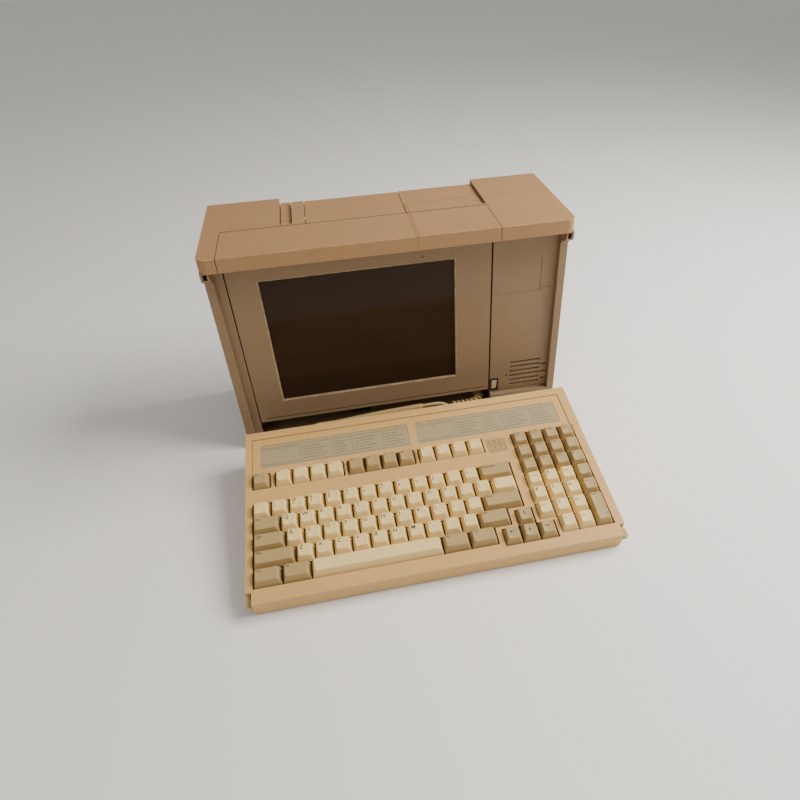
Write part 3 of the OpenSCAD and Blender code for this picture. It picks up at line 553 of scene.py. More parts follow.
def steel():
    """Plated steel of pins, screws and brackets."""
    return metal("plated steel", srgb(196, 194, 188), srgb(160, 157, 150))


def zinc():
    """Galvanised sheet of the inner screens and the supply's case."""
    return metal("zinc sheet", srgb(178, 178, 172), srgb(146, 146, 140), rough=0.48, lines=300)


def cord_plastic():
    """Soft cream jacket of the keyboard cord."""
    return moulded(
        "cord jacket", srgb(190, 164, 112), srgb(174, 145, 95), srgb(209, 188, 142), srgb(91, 68, 42),
        rough=0.38, soiling=0.2, pebbles=900, depth=0.02, specular=0.5,
    )


def carried(node, material):
    """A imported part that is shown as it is, with a better material."""
    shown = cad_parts[node]
    if not shown.material_slots:
        shown.data.materials.append(material)
    for place in shown.material_slots:
        place.material = material


# Cord route, as in the part's source, in millimetres

LEAD = [
    (-118, 33.4, 32.3), (-118, 37.35, 33.0), (-117, 43, 31.5), (-113, 50, 28), (-106, 56, 23),
    (-97, 60, 19.6), (-85, 61, 19.2), (-60, 61, 21), (-30, 61, 23), (0, 61, 24.2), (24, 61.5, 24.6),
]
BARE = [(34, 62, 24.6), (44, 63, 23.6), (51, 64, 21.4)]
RELIEF_A, RELIEF_B, RELIEF_C = 68.7, 206.0, -29.0
COIL_X0, COIL_X1, COIL_X2 = 62.0, 88.0, -26.0
COIL_Y, COIL_Z, COIL_TURN = 65.0, 14.0, 17.0
CURL_R, CURL_PITCH, CORD_D = 4.4, 5.8, 3.8
SLEEVE_THIN, SLEEVE_THICK = 2.35, 3.2


def smooth_through(points, steps):
    """More points on a smooth curve through the given ones."""
    route = []
    for i in range(len(points) - 1):
        before = points[max(i - 1, 0)]
        start, end = points[i], points[i + 1]
        after = points[min(i + 2, len(points) - 1)]
        for k in range(steps):
            t = k / steps
            route.append(
                0.5 * ((2 * start) + (end - before) * t + (2 * before - 5 * start + 4 * end - after) * t * t
                       + (3 * start - before - 3 * end + after) * t ** 3)
            )
    route.append(points[-1])
    return route


def coil_middle(s):
    """Middle of the curled run at a distance along it, and the level side of the curl there."""
    first = COIL_X1 - COIL_X0
    bend = math.pi * COIL_TURN
    if s <= first:
        return Vector((COIL_X0 + s, COIL_Y, COIL_Z)), Vector((0, -1, 0))
    if s <= first + bend:
        turn = (s - first) / COIL_TURN
        y = COIL_Y + COIL_TURN * (1 - math.cos(turn))
        middle = Vector((COIL_X1 + COIL_TURN * math.sin(turn), y, COIL_Z))
        return middle, Vector((math.sin(turn), -math.cos(turn), 0))
    return Vector((COIL_X1 - (s - first - bend), COIL_Y + 2 * COIL_TURN, COIL_Z)), Vector((0, 1, 0))


def joined(start, start_way, end, end_way, count):
    """Points of a smooth bend from one point and direction to another."""
    reach = (end - start).length * 1.1
    route = []
    for i in range(1, count):
        t = i / count
        route.append(
            (2 * t ** 3 - 3 * t * t + 1) * start + (t ** 3 - 2 * t * t + t) * reach * start_way
            + (-2 * t ** 3 + 3 * t * t) * end + (t ** 3 - t * t) * reach * end_way
        )
    return route


def coil_route(per_turn):
    """Points round every curl, without the ends that lead in and out."""
    whole = (COIL_X1 - COIL_X0) + math.pi * COIL_TURN + (COIL_X1 - COIL_X2)
    curls = math.floor(whole / CURL_PITCH)
    route = []
    for i in range(curls * per_turn + 1):
        s = i * CURL_PITCH / per_turn
        middle, side = coil_middle(s)
        turn = 2 * math.pi * i / per_turn
        route.append(middle + CURL_R * (math.cos(turn) * Vector((0, 0, 1)) + math.sin(turn) * side))
    return route


def tube_curve(name, points, diameter, material, body, replaced):
    """A round cord as a curve through points in millimetres."""
    curve = bpy.data.curves.new(name, "CURVE")
    curve.dimensions = "3D"
    curve.bevel_depth = diameter / 2 * MM
    curve.bevel_resolution = 4
    curve.use_fill_caps = True
    spline = curve.splines.new("POLY")
    spline.points.add(len(points) - 1)
    for target, point in zip(spline.points, points):
        target.co = (*(point * MM), 1.0)
    spline.use_smooth = True
    curve.materials.append(material)
    piece = bpy.data.objects.new(name, curve)
    bpy.context.scene.collection.objects.link(piece)
    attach(piece, body)
    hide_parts(*replaced)
    return piece


def sleeve_solid(points, radii, segments=24):
    """A closed tube through points, each with its own radius, in millimetres."""
    bm = bmesh.new()
    rings = []
    for i, (point, radius) in enumerate(zip(points, radii)):
        way = (points[min(i + 1, len(points) - 1)] - points[max(i - 1, 0)]).normalized()
        across = way.cross(Vector((0, 0, 1))).normalized()
        up = across.cross(way)
        rings.append([
            bm.verts.new((point + radius * (math.cos(t) * across + math.sin(t) * up)) * MM)
            for t in (2 * math.pi * k / segments for k in range(segments))
        ])
    for near, far in zip(rings, rings[1:]):
        for i in range(segments):
            j = (i + 1) % segments
            bm.faces.new((near[i], near[j], far[j], far[i]))
    bm.faces.new(rings[0])
    bm.faces.new(rings[-1])
    return bm


# Keys, each row as [row, [(first pitch, last pitch, legend), ...]]

NUMBER_SIGNS = zip("~!@#$%^&*()_+", "`1234567890-=")
NUMBER_ROW = [4, [(i, i + 1, top + "\n" + low) for i, (top, low) in enumerate(NUMBER_SIGNS)]]
LETTER_ROWS = [
    [3, [(1.5 + i, 2.5 + i, c) for i, c in enumerate("QWERTYUIOP")] + [
        (11.5, 12.5, "{\n["), (12.5, 13.5, "}\n]"), (13.5, 15, "|\n\\"),
    ]],
    [2, [(1.75 + i, 2.75 + i, c) for i, c in enumerate("ASDFGHJKL")] + [
        (10.75, 11.75, ":\n;"), (11.75, 12.75, "\"\n'"),
    ]],
    [1, [(2.25 + i, 3.25 + i, c) for i, c in enumerate("ZXCVBNM")] + [
        (9.25, 10.25, "<\n,"), (10.25, 11.25, ">\n."), (11.25, 12.25, "?\n/"),
    ]],
]
MODIFIER_ROWS = [
    [4, [(13, 15, "Backspace")]], [3, [(0, 1.5, "Tab")]], [2, [(0, 1.75, "Caps\nLock")]],
    [1, [(0, 2.25, "Shift"), (12.25, 14, "Shift")]],
    [0, [(0, 1.5, "Ctrl"), (1.5, 3, "Alt"), (10, 11.5, "Alt"), (11.5, 13, "Ctrl")]],
]
ENTER_ROWS = [[2, [(12.75, 15, "Enter")]]]
SPACE_ROWS = [[0, [(3, 10, "")]]]
FUNCTION_ROWS = [[6, [(0, 1, "Esc")] + [
    (1.28 + g * 4.25 + i, 2.28 + g * 4.25 + i, "F%d" % (g * 4 + i + 1)) for g in range(3) for i in range(4)
]]]
ARROW_ROWS = [[-0.2, [(13.35, 14.35, "<left>"), (14.35, 15.35, "<down>"), (15.35, 16.35, "<right>")]],
              [0.8, [(14.35, 15.35, "<up>")]]]
PAD_A = 15.6
NUMPAD_ROWS = [
    [row, [(PAD_A + i, PAD_A + i + 1, legend) for i, legend in enumerate(legends)]]
    for row, legends in (
        (3, ("7\nHome", "8", "9\nPgUp")), (2, ("4", "5", "6")), (1, ("1\nEnd", "2", "3\nPgDn")),
    )
] + [[0, [(PAD_A + 1, PAD_A + 2, "0\nIns"), (PAD_A + 2, PAD_A + 3, ".\nDel")]]]
CONTROL_ROWS = [
    [row, [(PAD_A + i, PAD_A + i + 1, legend) for i, legend in enumerate(legends)]]
    for row, legends in (
        (6, ("Print\nScrn", "Scroll\nLock", "Pause", "Num\nLock")), (5, ("Ins", "Home", "PgUp", "/")),
        (4, ("Del", "End", "PgDn", "*")),
    )
] + [[3, [(PAD_A + 3, PAD_A + 4, "-")]], [2, [(PAD_A + 3, PAD_A + 4, "+")]]]
PAD_ENTER = [0, [(PAD_A + 3, PAD_A + 4, "Enter")]]
KEY_GROUPS = (
    ("function_keys", "function_group", FUNCTION_ROWS, "pale"),
    ("number_row_keys", "number_row_group", [NUMBER_ROW], "pale"),
    ("letter_keys", "letter_group", LETTER_ROWS, "pale"),
    ("modifier_keys", "modifier_group", MODIFIER_ROWS, "tan"),
    ("enter_key", "enter_cap", ENTER_ROWS, "tan"),
    ("space_bar", "space_cap", SPACE_ROWS, "pale"),
    ("arrow_keys", "arrow_group", ARROW_ROWS, "tan"),
    ("numpad_keys", "numpad_group", NUMPAD_ROWS, "pale"),
    ("control_pad_keys", "control_pad_group", CONTROL_ROWS, "tan"),
)
DARK_FUNCTION_KEYS = ("Esc", "F5", "F6", "F7", "F8")
ARROWS = {"<left>": 90, "<down>": 180, "<right>": -90, "<up>": 0}


def cap_top(a, b, a0, a1, b0, b1, dish):
    """Height of a cap's hollowed top at a point, in the keyboard's frame."""
    slope = (b - b0) / (b1 - b0)
    across = (a - (a0 + a1) / 2) / ((a1 - a0) / 2)
    return CAP_RISE - 0.3 + 0.8 * slope - dish * max(0.0, 1 - across * across)


def cap_face(row, first, last, depth=1):
    """Edges of a cap's top face: left, right, front and back."""
    return (first * PITCH + 2.9, last * PITCH - 3.6, row * PITCH + 4.4, (row + depth) * PITCH - 2.2)


def rounded_rectangle(left, right, front, back, radius, per_corner=4, per_side=4):
    """Points round a rectangle with rounded corners, anticlockwise from the right."""
    points = []
    corners = (
        (right - radius, back - radius, 0), (left + radius, back - radius, 90),
        (left + radius, front + radius, 180), (right - radius, front + radius, 270),
    )
    for index, (x, y, start) in enumerate(corners):
        arc = []
        for k in range(per_corner):
            angle = math.radians(start + 90 * k / (per_corner - 1))
            arc.append((x + radius * math.cos(angle), y + radius * math.sin(angle)))
        points += arc
        nx, ny, turned = corners[(index + 1) % 4]
        angle = math.radians(turned)
        following = (nx + radius * math.cos(angle), ny + radius * math.sin(angle))
        for k in range(1, per_side + 1):
            t = k / (per_side + 1)
            points.append(tuple(a + (b - a) * t for a, b in zip(arc[-1], following)))
    return points


def add_cap(bm, row, first, last, dish, depth=1):
    """Adds one tapered key cap with a hollowed top and soft edges."""
    low = (first * PITCH + 0.5, last * PITCH - 0.5, row * PITCH + 0.5, (row + depth) * PITCH - 0.5)
    top = cap_face(row, first, last, depth)
    rings = []

    def ring(share, inset, radius, height=None, drop=0.0, hollow=1.0):
        left, right = (low[i] + (top[i] - low[i]) * share for i in (0, 1))
        front, back = (low[i] + (top[i] - low[i]) * share for i in (2, 3))
        points = rounded_rectangle(left + inset, right - inset, front + inset, back - inset, radius)
        verts = []
        for a, b in points:
            c = height if height is not None else cap_top(a, b, *top, dish * hollow) - drop
            verts.append(bm.verts.new(KEYBOARD @ (Vector((a, b, c)) * MM)))
        rings.append(verts)

    ring(0.0, 0.25, 0.9, CAP_LOW)
    ring(0.02, 0.0, 1.1, CAP_LOW + 0.5)
    ring(0.9, 0.0, 1.7, None, 0.85, 0.5)
    ring(0.96, 0.05, 1.9, None, 0.3, 0.8)
    ring(1.0, 0.35, 2.0, None, 0.06)
    ring(1.0, 0.9, 1.8)
    ring(1.0, min(top[1] - top[0], top[3] - top[2]) * 0.3, 0.8)
    for near, far in zip(rings, rings[1:]):
        count = len(near)
        for i in range(count):
            j = (i + 1) % count
            bm.faces.new((near[i], near[j], far[j], far[i]))
    bm.faces.new(rings[-1])
    bm.faces.new(list(reversed(rings[0])))


_glyphs = {}


def glyphs(words, size):
    """A flat mesh of plain bold lettering: its points and its faces."""
    key = (words, size)
    if key not in _glyphs:
        curve = bpy.data.curves.new("lettering", "FONT")
        curve.body = words
        curve.size = size
        curve.offset = size * 0.014
        curve.space_line = 0.85
        curve.resolution_u = 3
        helper = bpy.data.objects.new("lettering", curve)
        bpy.context.scene.collection.objects.link(helper)
        graph = bpy.context.evaluated_depsgraph_get()
        mesh = bpy.data.meshes.new_from_object(helper.evaluated_get(graph))
        _glyphs[key] = ([tuple(v.co[:2]) for v in mesh.vertices], [tuple(p.vertices) for p in mesh.polygons])
        bpy.data.objects.remove(helper)
        bpy.data.meshes.remove(mesh)
        bpy.data.curves.remove(curve)
    return _glyphs[key]


def arrow_glyph(size, turn):
    """A flat arrow with a stem, pointing up before it is turned."""
    shape = [(-0.09, -0.5), (0.09, -0.5), (0.09, 0.05), (0.3, 0.05), (0, 0.5), (-0.3, 0.05), (-0.09, 0.05)]
    spin = math.radians(turn)
    points = [
        (size * (x * math.cos(spin) - y * math.sin(spin)), size * (x * math.sin(spin) + y * math.cos(spin)))
        for x, y in shape
    ]
    return points, [tuple(range(len(points)))]


def add_legend(bm, row, first, last, words, size, dish, depth=1):
    """Prints a legend on the upper left of a cap's top, following its hollow."""
    left, right, front, back = cap_face(row, first, last, depth)
    if words in ARROWS:
        points, faces = arrow_glyph(5.0, ARROWS[words])
        a0, b0 = left + 5.2, back - 5.2
    else:
        lines = words.split("\n")
        plain = all(len(line) == 1 for line in lines)
        scale = size if plain and len(lines) == 1 else size * (0.72 if plain else 0.5)
        if len(words) > 5 and len(lines) == 1:
            scale = size * 0.6
        points, faces = glyphs(words, scale)
        a0, b0 = left + 1.2, back - 0.9 - scale * 0.72
    verts = []
    for x, y in points:
        a, b = a0 + x, b0 + y
        height = cap_top(a, b, left, right, front, back, dish) + 0.045
        verts.append(bm.verts.new(KEYBOARD @ (Vector((a, b, height)) * MM)))
    for face in faces:
        bm.faces.new([verts[i] for i in face])


# Settings


class LuggableCaseLooks(bpy.types.PropertyGroup):
    """Colours and edges of the case."""

    cover_tone: bpy.props.FloatVectorProperty(
        name="Cover tone", description="Colour of the top mouldings", subtype="COLOR", size=4,
        min=0, max=1, default=srgb(160, 123, 83),
    )
    case_tone: bpy.props.FloatVectorProperty(
        name="Case tone", description="Colour of the side, front and display mouldings", subtype="COLOR",
        size=4, min=0, max=1, default=srgb(138, 114, 85),
    )
    edge_round: bpy.props.FloatProperty(
        name="Edge round", description="Softening of the ordinary moulded edges", subtype="DISTANCE",
        unit="LENGTH", min=0.0001, max=0.002, default=0.0006,
    )


class LuggableKeyboardLooks(bpy.types.PropertyGroup):
    """Colours and key shapes of the keyboard."""

    shell_tone: bpy.props.FloatVectorProperty(
        name="Shell tone", description="Colour of the keyboard's shells", subtype="COLOR", size=4,
        min=0, max=1, default=srgb(205, 165, 102),
    )
    cap_tone: bpy.props.FloatVectorProperty(
        name="Cap tone", description="Colour of the pale key caps", subtype="COLOR", size=4,
        min=0, max=1, default=srgb(237, 209, 143),
    )
    tan_cap_tone: bpy.props.FloatVectorProperty(
        name="Tan cap tone", description="Colour of the darker key caps", subtype="COLOR", size=4,
        min=0, max=1, default=srgb(174, 149, 99),
    )
    dish: bpy.props.FloatProperty(
        name="Dish", description="Depth of the hollow in a cap's top", subtype="DISTANCE", unit="LENGTH",
        min=0.0, max=0.001, default=0.00055,
    )
    legend_height: bpy.props.FloatProperty(
        name="Legend height", description="Size of the letters on the caps", subtype="DISTANCE",
        unit="LENGTH", min=0.002, max=0.008, default=0.0062,
    )


class LuggableStageLooks(bpy.types.PropertyGroup):
    """Floor and lights."""

    key_power: bpy.props.FloatProperty(
        name="Key light", description="Power of the main soft light", subtype="POWER", unit="POWER",
        min=0, max=500, default=38,
    )
    fill_power: bpy.props.FloatProperty(
        name="Fill light", description="Power of the soft light from the other side", subtype="POWER",
        unit="POWER", min=0, max=500, default=5,
    )
    surround: bpy.props.FloatProperty(
        name="Surround", description="Strength of the even light from all round", min=0, max=3, default=0.42,
    )


# Operators


class LUGGABLE_OT_camera(bpy.types.Operator):
    """Place the camera at the viewing angle of the picture."""

    bl_idname = "luggable.camera"
    bl_label = "Camera"

    def execute(self, context):
        data = bpy.data.cameras.new("Camera")
        data.sensor_width = 36
        data.lens = 627.3903 / 800 * 36
        data.shift_x = (400 - 435.2104) / 800
        data.shift_y = (372.8141 - 400) / 800
        data.clip_start = 0.01
        azimuth, elevation, roll = -0.17686823, 0.64319716, -0.0359063
        back = Vector((math.sin(azimuth) * math.cos(elevation), -math.cos(azimuth) * math.cos(elevation),
                       math.sin(elevation)))
        right = Vector((0, 0, 1)).cross(back).normalized()
        up = back.cross(right)
        turned_right = math.cos(roll) * right + math.sin(roll) * up
        turned_up = -math.sin(roll) * right + math.cos(roll) * up
        camera = bpy.data.objects.new("Camera", data)
        context.scene.collection.objects.link(camera)
        turn = Matrix((turned_right, turned_up, back)).transposed().to_4x4()
        camera.matrix_world = Matrix.Translation(Vector((-69.632, -565.991, 552.927)) * MM) @ turn
        context.scene.camera = camera
        return {"FINISHED"}


class LUGGABLE_OT_cord(bpy.types.Operator):
    """Make the keyboard's curly cord, its strain relief and its plug."""

    bl_idname = "luggable.cord"
    bl_label = "Keyboard cord"

    def execute(self, context):
        jacket = cord_plastic()
        lead_points = smooth_through([Vector(p) for p in LEAD], 4)
        bare_points = smooth_through([Vector(p) for p in LEAD[-1:] + BARE], 4)[1:]
        whole = coil_route(20)
        plug_end = whole[-1] - Vector((CORD_D, 0, 0))
        curls = whole[7:-7]
        way_in = joined(bare_points[-1], Vector((0.9, 0.1, -0.4)).normalized(), curls[0],
                        (curls[1] - curls[0]).normalized(), 9)
        way_out = joined(curls[-1], (curls[-1] - curls[-2]).normalized(), plug_end, Vector((-1, 0, 0)), 9)
        plug_x = plug_end.x
        route = lead_points + bare_points + way_in + curls + way_out + [plug_end]
        cord = tube_curve("keyboard_cord", route, CORD_D, jacket, "case", ("cord_coil",))
        last = lead_points[-1]
        sleeve_points = lead_points[:-1] + [last + Vector((x, 0, 0)) for x in (-1.6, -0.8, -0.3, 0)]
        swell = [SLEEVE_THIN + (SLEEVE_THICK - SLEEVE_THIN) * min(1, i / (len(lead_points) - 8)) ** 0.7
                 for i in range(len(lead_points) - 1)]
        swell += [SLEEVE_THICK, SLEEVE_THICK - 0.25, SLEEVE_THICK - 0.6, SLEEVE_THICK - 1.1]
        sleeve = sleeve_solid(sleeve_points, swell)
        sleeve_piece = add_mesh("cord_sleeve", sleeve, jacket, "case", ("cord_lead",), 40)
        plug = lathe([
            (-54, 4.6), (-53.6, 5), (-44.2, 5), (-44.2, 5.6), (-43.6, 6.2), (-38, 6.2), (-37.6, 5.7),
            (-36.6, 5.7), (-36.2, 6.2), (-34.6, 6.2), (-34.2, 5.7), (-33.2, 5.7), (-32.8, 6.0),
            (-30.4, 5.4), (plug_x - 0.4, 3.0), (plug_x, 2.4),
        ])
        socket = Vector((0, COIL_Y + 2 * COIL_TURN, COIL_Z + CURL_R))
        bmesh.ops.translate(plug, verts=plug.verts, vec=socket * MM)
        plug_piece = add_mesh("cord_plug_body", plug, black_plastic(), "case", ("cord_plug",), 35)
        relief_profile = [(0, 4.0), (1.2, 4.0), (1.5, 3.6)]
        for rib in range(4):
            start = 1.8 + rib * 2.7
            size = 3.9 - rib * 0.28
            relief_profile += [
                (start, size), (start + 1.6, size - 0.1),
                (start + 1.8, size - 0.7), (start + 2.5, size - 0.75),
            ]
        relief_profile += [(12.7, 2.6), (13, 2.45)]
        relief = lathe(relief_profile, 36)
        foot = Matrix.Translation(Vector((RELIEF_A, RELIEF_B - 13, RELIEF_C)) * MM)
        along = KEYBOARD @ foot @ Matrix.Rotation(math.radians(90), 4, "Z")
        bmesh.ops.transform(relief, matrix=along, verts=relief.verts)
        add_mesh("cord_strain_relief", relief, cream_plastic(), "keyboard", ("cord_relief",), 35)
        return {"FINISHED"}


class LUGGABLE_OT_case(bpy.types.Operator):
    """Make the case: top cover, sides, back, base and feet."""

    bl_idname = "luggable.case"
    bl_label = "Case mouldings"

    def execute(self, context):
        fine = context.scene.luggable_case.edge_round / MM
        rounded_top(context)
        add_mesh("lip_brackets", lip_brackets(), case_plastic(), "case")
        rounded("left_side_moulding", "left_side_shell", case_plastic(), "case", fine)
        rounded("right_side_moulding", "right_side_shell", case_plastic(), "case", fine)
        rounded("rear_moulding", "rear_cover", case_plastic(), "case", fine)
        rounded("base_moulding", "base_tray", shadow_plastic(), "case", fine)
        rounded("case_rubber_feet", "case_feet", rubber(), "case", 0.8)
        return {"FINISHED"}


def lip_brackets():
    """Small curved brackets under the lip's ends, each with a catch pocket in its front."""
    profile = [(59.5, 258), (41, 258), (41.2, 252), (42.5, 248), (45.5, 245), (50, 243), (54, 240), (57, 236),
               (58.2, 232), (59.5, 232)]
    bm = bmesh.new()
    for left, right in ((-201.4, -192.5), (192.5, 201.4)):
        ends = [[bm.verts.new(Vector((x, y, z)) * MM) for y, z in profile] for x in (left, right)]
        for i in range(len(profile)):
            j = (i + 1) % len(profile)
            bm.faces.new((ends[0][i], ends[0][j], ends[1][j], ends[1][i]))
        bm.faces.new(ends[0])
        bm.faces.new(ends[1])
    bmesh.ops.recalc_face_normals(bm, faces=bm.faces)
    bm = carve(bm, blocks([((side - 2.2, 40, 248.5), (side + 2.2, 53, 256)) for side in (-196.5, 196.5)]))
    mark_layer(bm)
    bevel_edges(bm, sharp_edges(bm), 0.4, 2)
    return bm


def rounded_top(context):
    """Top cover with its engraved parting lines and rounded outer edges."""
    fine = context.scene.luggable_case.edge_round / MM
    seams = [
        ((20, 132.2, CASE_TOP - 0.7), (203, 132.8, CASE_TOP + 1)),
        ((24.3, 104, CASE_TOP - 0.6), (24.8, 132.5, CASE_TOP + 1)),
        ((27.2, 104, CASE_TOP - 0.6), (27.7, 132.5, CASE_TOP + 1)),
    ]
    return rounded(
        "top_cover_moulding", "top_cover", cover_plastic(), "case", fine,
        ((lambda m, d: abs(d.z) > 0.95 and m.y < 42 and abs(m.x) > 201, 10.0, 8),
         (lambda m, d: m.z > CASE_TOP - 0.2 and abs(m.x) > 201.8, 2.2, 4),
         (lambda m, d: m.z > CASE_TOP - 0.2 and m.y < 40, 2.2, 4),
         (lambda m, d: m.z > CASE_TOP - 0.2 and m.y > 189 and abs(d.x) > 0.9, 3.0, 4)),
        seams,
    )


class LUGGABLE_OT_display(bpy.types.Operator):
    """Make the display module: cap, bezel, dark window, back and what is inside."""

    bl_idname = "luggable.display"
    bl_label = "Display"

    def execute(self, context):
        fine = context.scene.luggable_case.edge_round / MM
        rounded(
            "display_cap_moulding", "display_cap", cover_plastic(), "display", fine,
            ((lambda m, d: m.y < 40 and m.z > CASE_TOP - 0.2 and abs(d.x) > 0.9, 2.2, 4),),
            [((24.3, 30, CASE_TOP - 0.6), (24.8, 105, CASE_TOP + 1)),
             ((27.2, 30, CASE_TOP - 0.6), (27.7, 105, CASE_TOP + 1)),
             ((24.9, 38, 256), (25.5, 39.7, 274))],
        )
        rounded("display_bezel_moulding", "display_bezel", case_plastic(), "display", fine,
                ((lambda m, d: abs(m.y - FACE_Y) < 0.1 and -149 < m.x < 70.2 and 64 < m.z < 229.5, 1.6, 3),),
                [((-174, FACE_Y - 1, 37.7), (108, FACE_Y + 2.1, 39.5)),
                 ((-174, FACE_Y - 1, 33.2), (108, FACE_Y + 0.6, 33.8))])
        add_mesh("display_bezel_marks", blocks([
            ((32.2, FACE_Y - 0.03, 235.8), (34.2, FACE_Y + 0.3, 237.4)),
            ((66.6, FACE_Y - 0.03, 237.9), (68.2, FACE_Y + 0.3, 238.9)),
        ]), ink(), "display")
        rounded("display_back_moulding", "display_back", case_plastic(), "display", fine)
        rounded("display_window_glass", "display_window", screen_glass(), "display", 0.3)
        rounded("display_picture_panel", "display_panel", picture_plate(), "display", 0.5)
        rounded("display_circuit_board", "display_board", circuit_board(), "display", 0.2)
        rounded("display_screw_set", "display_screws", steel(), "display", 0.3)
        return {"FINISHED"}


def screen_glass():
    """Smoked reddish-brown window, polished, with a thin film of dust."""
    found = bpy.data.materials.get("smoked screen window")
    if found:
        return found
    material, nodes, links, shader = start_material("smoked screen window", 0.12)
    shader.inputs["Specular IOR Level"].default_value = 0.1
    dust = ramp(nodes, links, noise_node(nodes, links, 60.0, 5.0, 0.7), 0.45, 0.8)
    veil = math_node(nodes, links, "MULTIPLY", dust, 0.25)
    links.new(mix_colour(nodes, links, veil, srgb(50, 36, 25), srgb(78, 56, 40)), shader.inputs["Base Color"])
    links.new(math_node(nodes, links, "ADD", math_node(nodes, links, "MULTIPLY", dust, 0.12), 0.1),
              shader.inputs["Roughness"])
    return material


def picture_plate():
    """Unlit picture cells behind the window: a fine grid on dark brown."""
    found = bpy.data.materials.get("picture plate")
    if found:
        return found
    material, nodes, links, shader = start_material("picture plate", 0.3)
    cells = nodes.new("ShaderNodeTexChecker")
    cells.inputs["Scale"].default_value = 1800
    cells.inputs["Color1"].default_value = srgb(52, 34, 26)
    cells.inputs["Color2"].default_value = srgb(38, 25, 20)
    links.new(nodes.new("ShaderNodeTexCoord").outputs["Object"], cells.inputs["Vector"])
    links.new(cells.outputs["Color"], shader.inputs["Base Color"])
    return material


def circuit_board():
    """Green lacquered board with paler tracks."""
    found = bpy.data.materials.get("circuit board lacquer")
    if found:
        return found
    material, nodes, links, shader = start_material("circuit board lacquer", 0.3)
    tracks = nodes.new("ShaderNodeTexBrick")
    tracks.inputs["Scale"].default_value = 130
    tracks.inputs["Mortar Size"].default_value = 0.06
    tracks.inputs["Color1"].default_value = srgb(34, 82, 46)
    tracks.inputs["Color2"].default_value = srgb(28, 69, 40)
    tracks.inputs["Mortar"].default_value = srgb(66, 124, 74)
    links.new(nodes.new("ShaderNodeTexCoord").outputs["Object"], tracks.inputs["Vector"])
    links.new(tracks.outputs["Color"], shader.inputs["Base Color"])
    return material


class LUGGABLE_OT_front_panel(bpy.types.Operator):
    """Make the right front panel, its power switch and the loudspeaker behind its grille."""

    bl_idname = "luggable.front_panel"
    bl_label = "Front panel"

    def execute(self, context):
        fine = context.scene.luggable_case.edge_round / MM
        rounded("right_front_panel", "front_panel", case_plastic(), "case", min(fine, 0.4),
                cuts=[((118.6, FACE_Y - 1, 178.3), (188, FACE_Y + 0.5, 179.1))])
        lamp = lathe([(0, 1.5), (0.3, 1.5), (0.62, 1.2), (0.78, 0.7), (0.84, 0.2)], 24)
        bmesh.ops.transform(lamp, verts=lamp.verts, matrix=Matrix.Translation(
            Vector((137.7, FACE_Y + 0.45, 52.9)) * MM) @ Matrix.Rotation(math.radians(-90), 4, "Z"))
        add_mesh("power_lamp", lamp, black_plastic(), "case", smooth_angle=60)
        rounded("switch_surround", "switch_frame", black_plastic(), "case", 0.3)
        rounded("switch_rocker", "power_rocker", rocker_plastic(), "rocker", 0.35)
        rounded("loudspeaker_cone", "loudspeaker", black_plastic(), "case", 0.5)
        return {"FINISHED"}


class LUGGABLE_OT_handle(bpy.types.Operator):
    """Make the carry handle, the lift arm and the frame and pins that hold them."""

    bl_idname = "luggable.handle"
    bl_label = "Handle and lift arm"

    def execute(self, context):
        fine = context.scene.luggable_case.edge_round / MM
        rounded("carry_handle_arms", "carry_handle", cover_plastic(), "handle", 1.2)
        # Raised ridges across the arms; their softened edges take the pale edge colour, partly edge wear and
        # partly painted highlight.
        ridge = blocks([((side - 5.7, 127.8, 269.2), (side + 5.7, 129.2, 270.3)) for side in (-111, 111)])
        bevel_edges(ridge, sharp_edges(ridge), 0.3, 2)
        add_mesh("carry_handle_ridges", ridge, cover_plastic(), "handle")
        rounded("carry_handle_grip", "handle_grip", rubber(), "handle", 1.2)
        rounded("lift_arm_moulding", "lift_arm", cover_plastic(), "arm", fine)
        carried("tilt_pin", steel())
        carried("lift_pin", steel())
        carried("handle_pins", steel())
        rounded("hinge_bracket", "hinge_frame", steel(), "case", 0.4)
        return {"FINISHED"}


class LUGGABLE_OT_innards(bpy.types.Operator):
    """Finish the drives, boards, supply and screens inside the case."""

    bl_idname = "luggable.innards"
    bl_label = "Inside parts"

    def execute(self, context):
        rounded("bulkhead_sheet", "bay_bulkhead", zinc(), "case", 0.3)
        rounded("divider_sheet", "bay_divider", zinc(), "case", 0.3)
        rounded("supply_case", "power_supply", zinc(), "case", 0.5)
        rounded("main_circuit_board", "main_board", circuit_board(), "case", 0.2)
        rounded("expansion_circuit_board", "expansion_card", circuit_board(), "case", 0.2)
        casting = metal("drive casting", srgb(168, 169, 166), srgb(140, 141, 137), 0.5, 200)
        rounded("hard_drive_case", "hard_drive", casting, "case", 0.8)
        rounded("floppy_drive_case", "floppy_drive", shadow_plastic(), "case", 0.6)
        rounded("eject_button_cap", "eject_button", cream_cap_plastic(), "eject", 0.5)
        return {"FINISHED"}


class LUGGABLE_OT_rear_fittings(bpy.types.Operator):
    """Make the mains inlet, ports, keyboard socket and case screws."""

    bl_idname = "luggable.rear_fittings"
    bl_label = "Rear fittings"

    def execute(self, context):
        rounded("mains_inlet_body", "mains_inlet", black_plastic(), "case", 0.4)
        rounded("port_plate_sheet", "port_plate", steel(), "case", 0.3)
        rounded("keyboard_socket_body", "keyboard_socket", black_plastic(), "case", 0.6)
        carried("case_screws", steel())
        return {"FINISHED"}


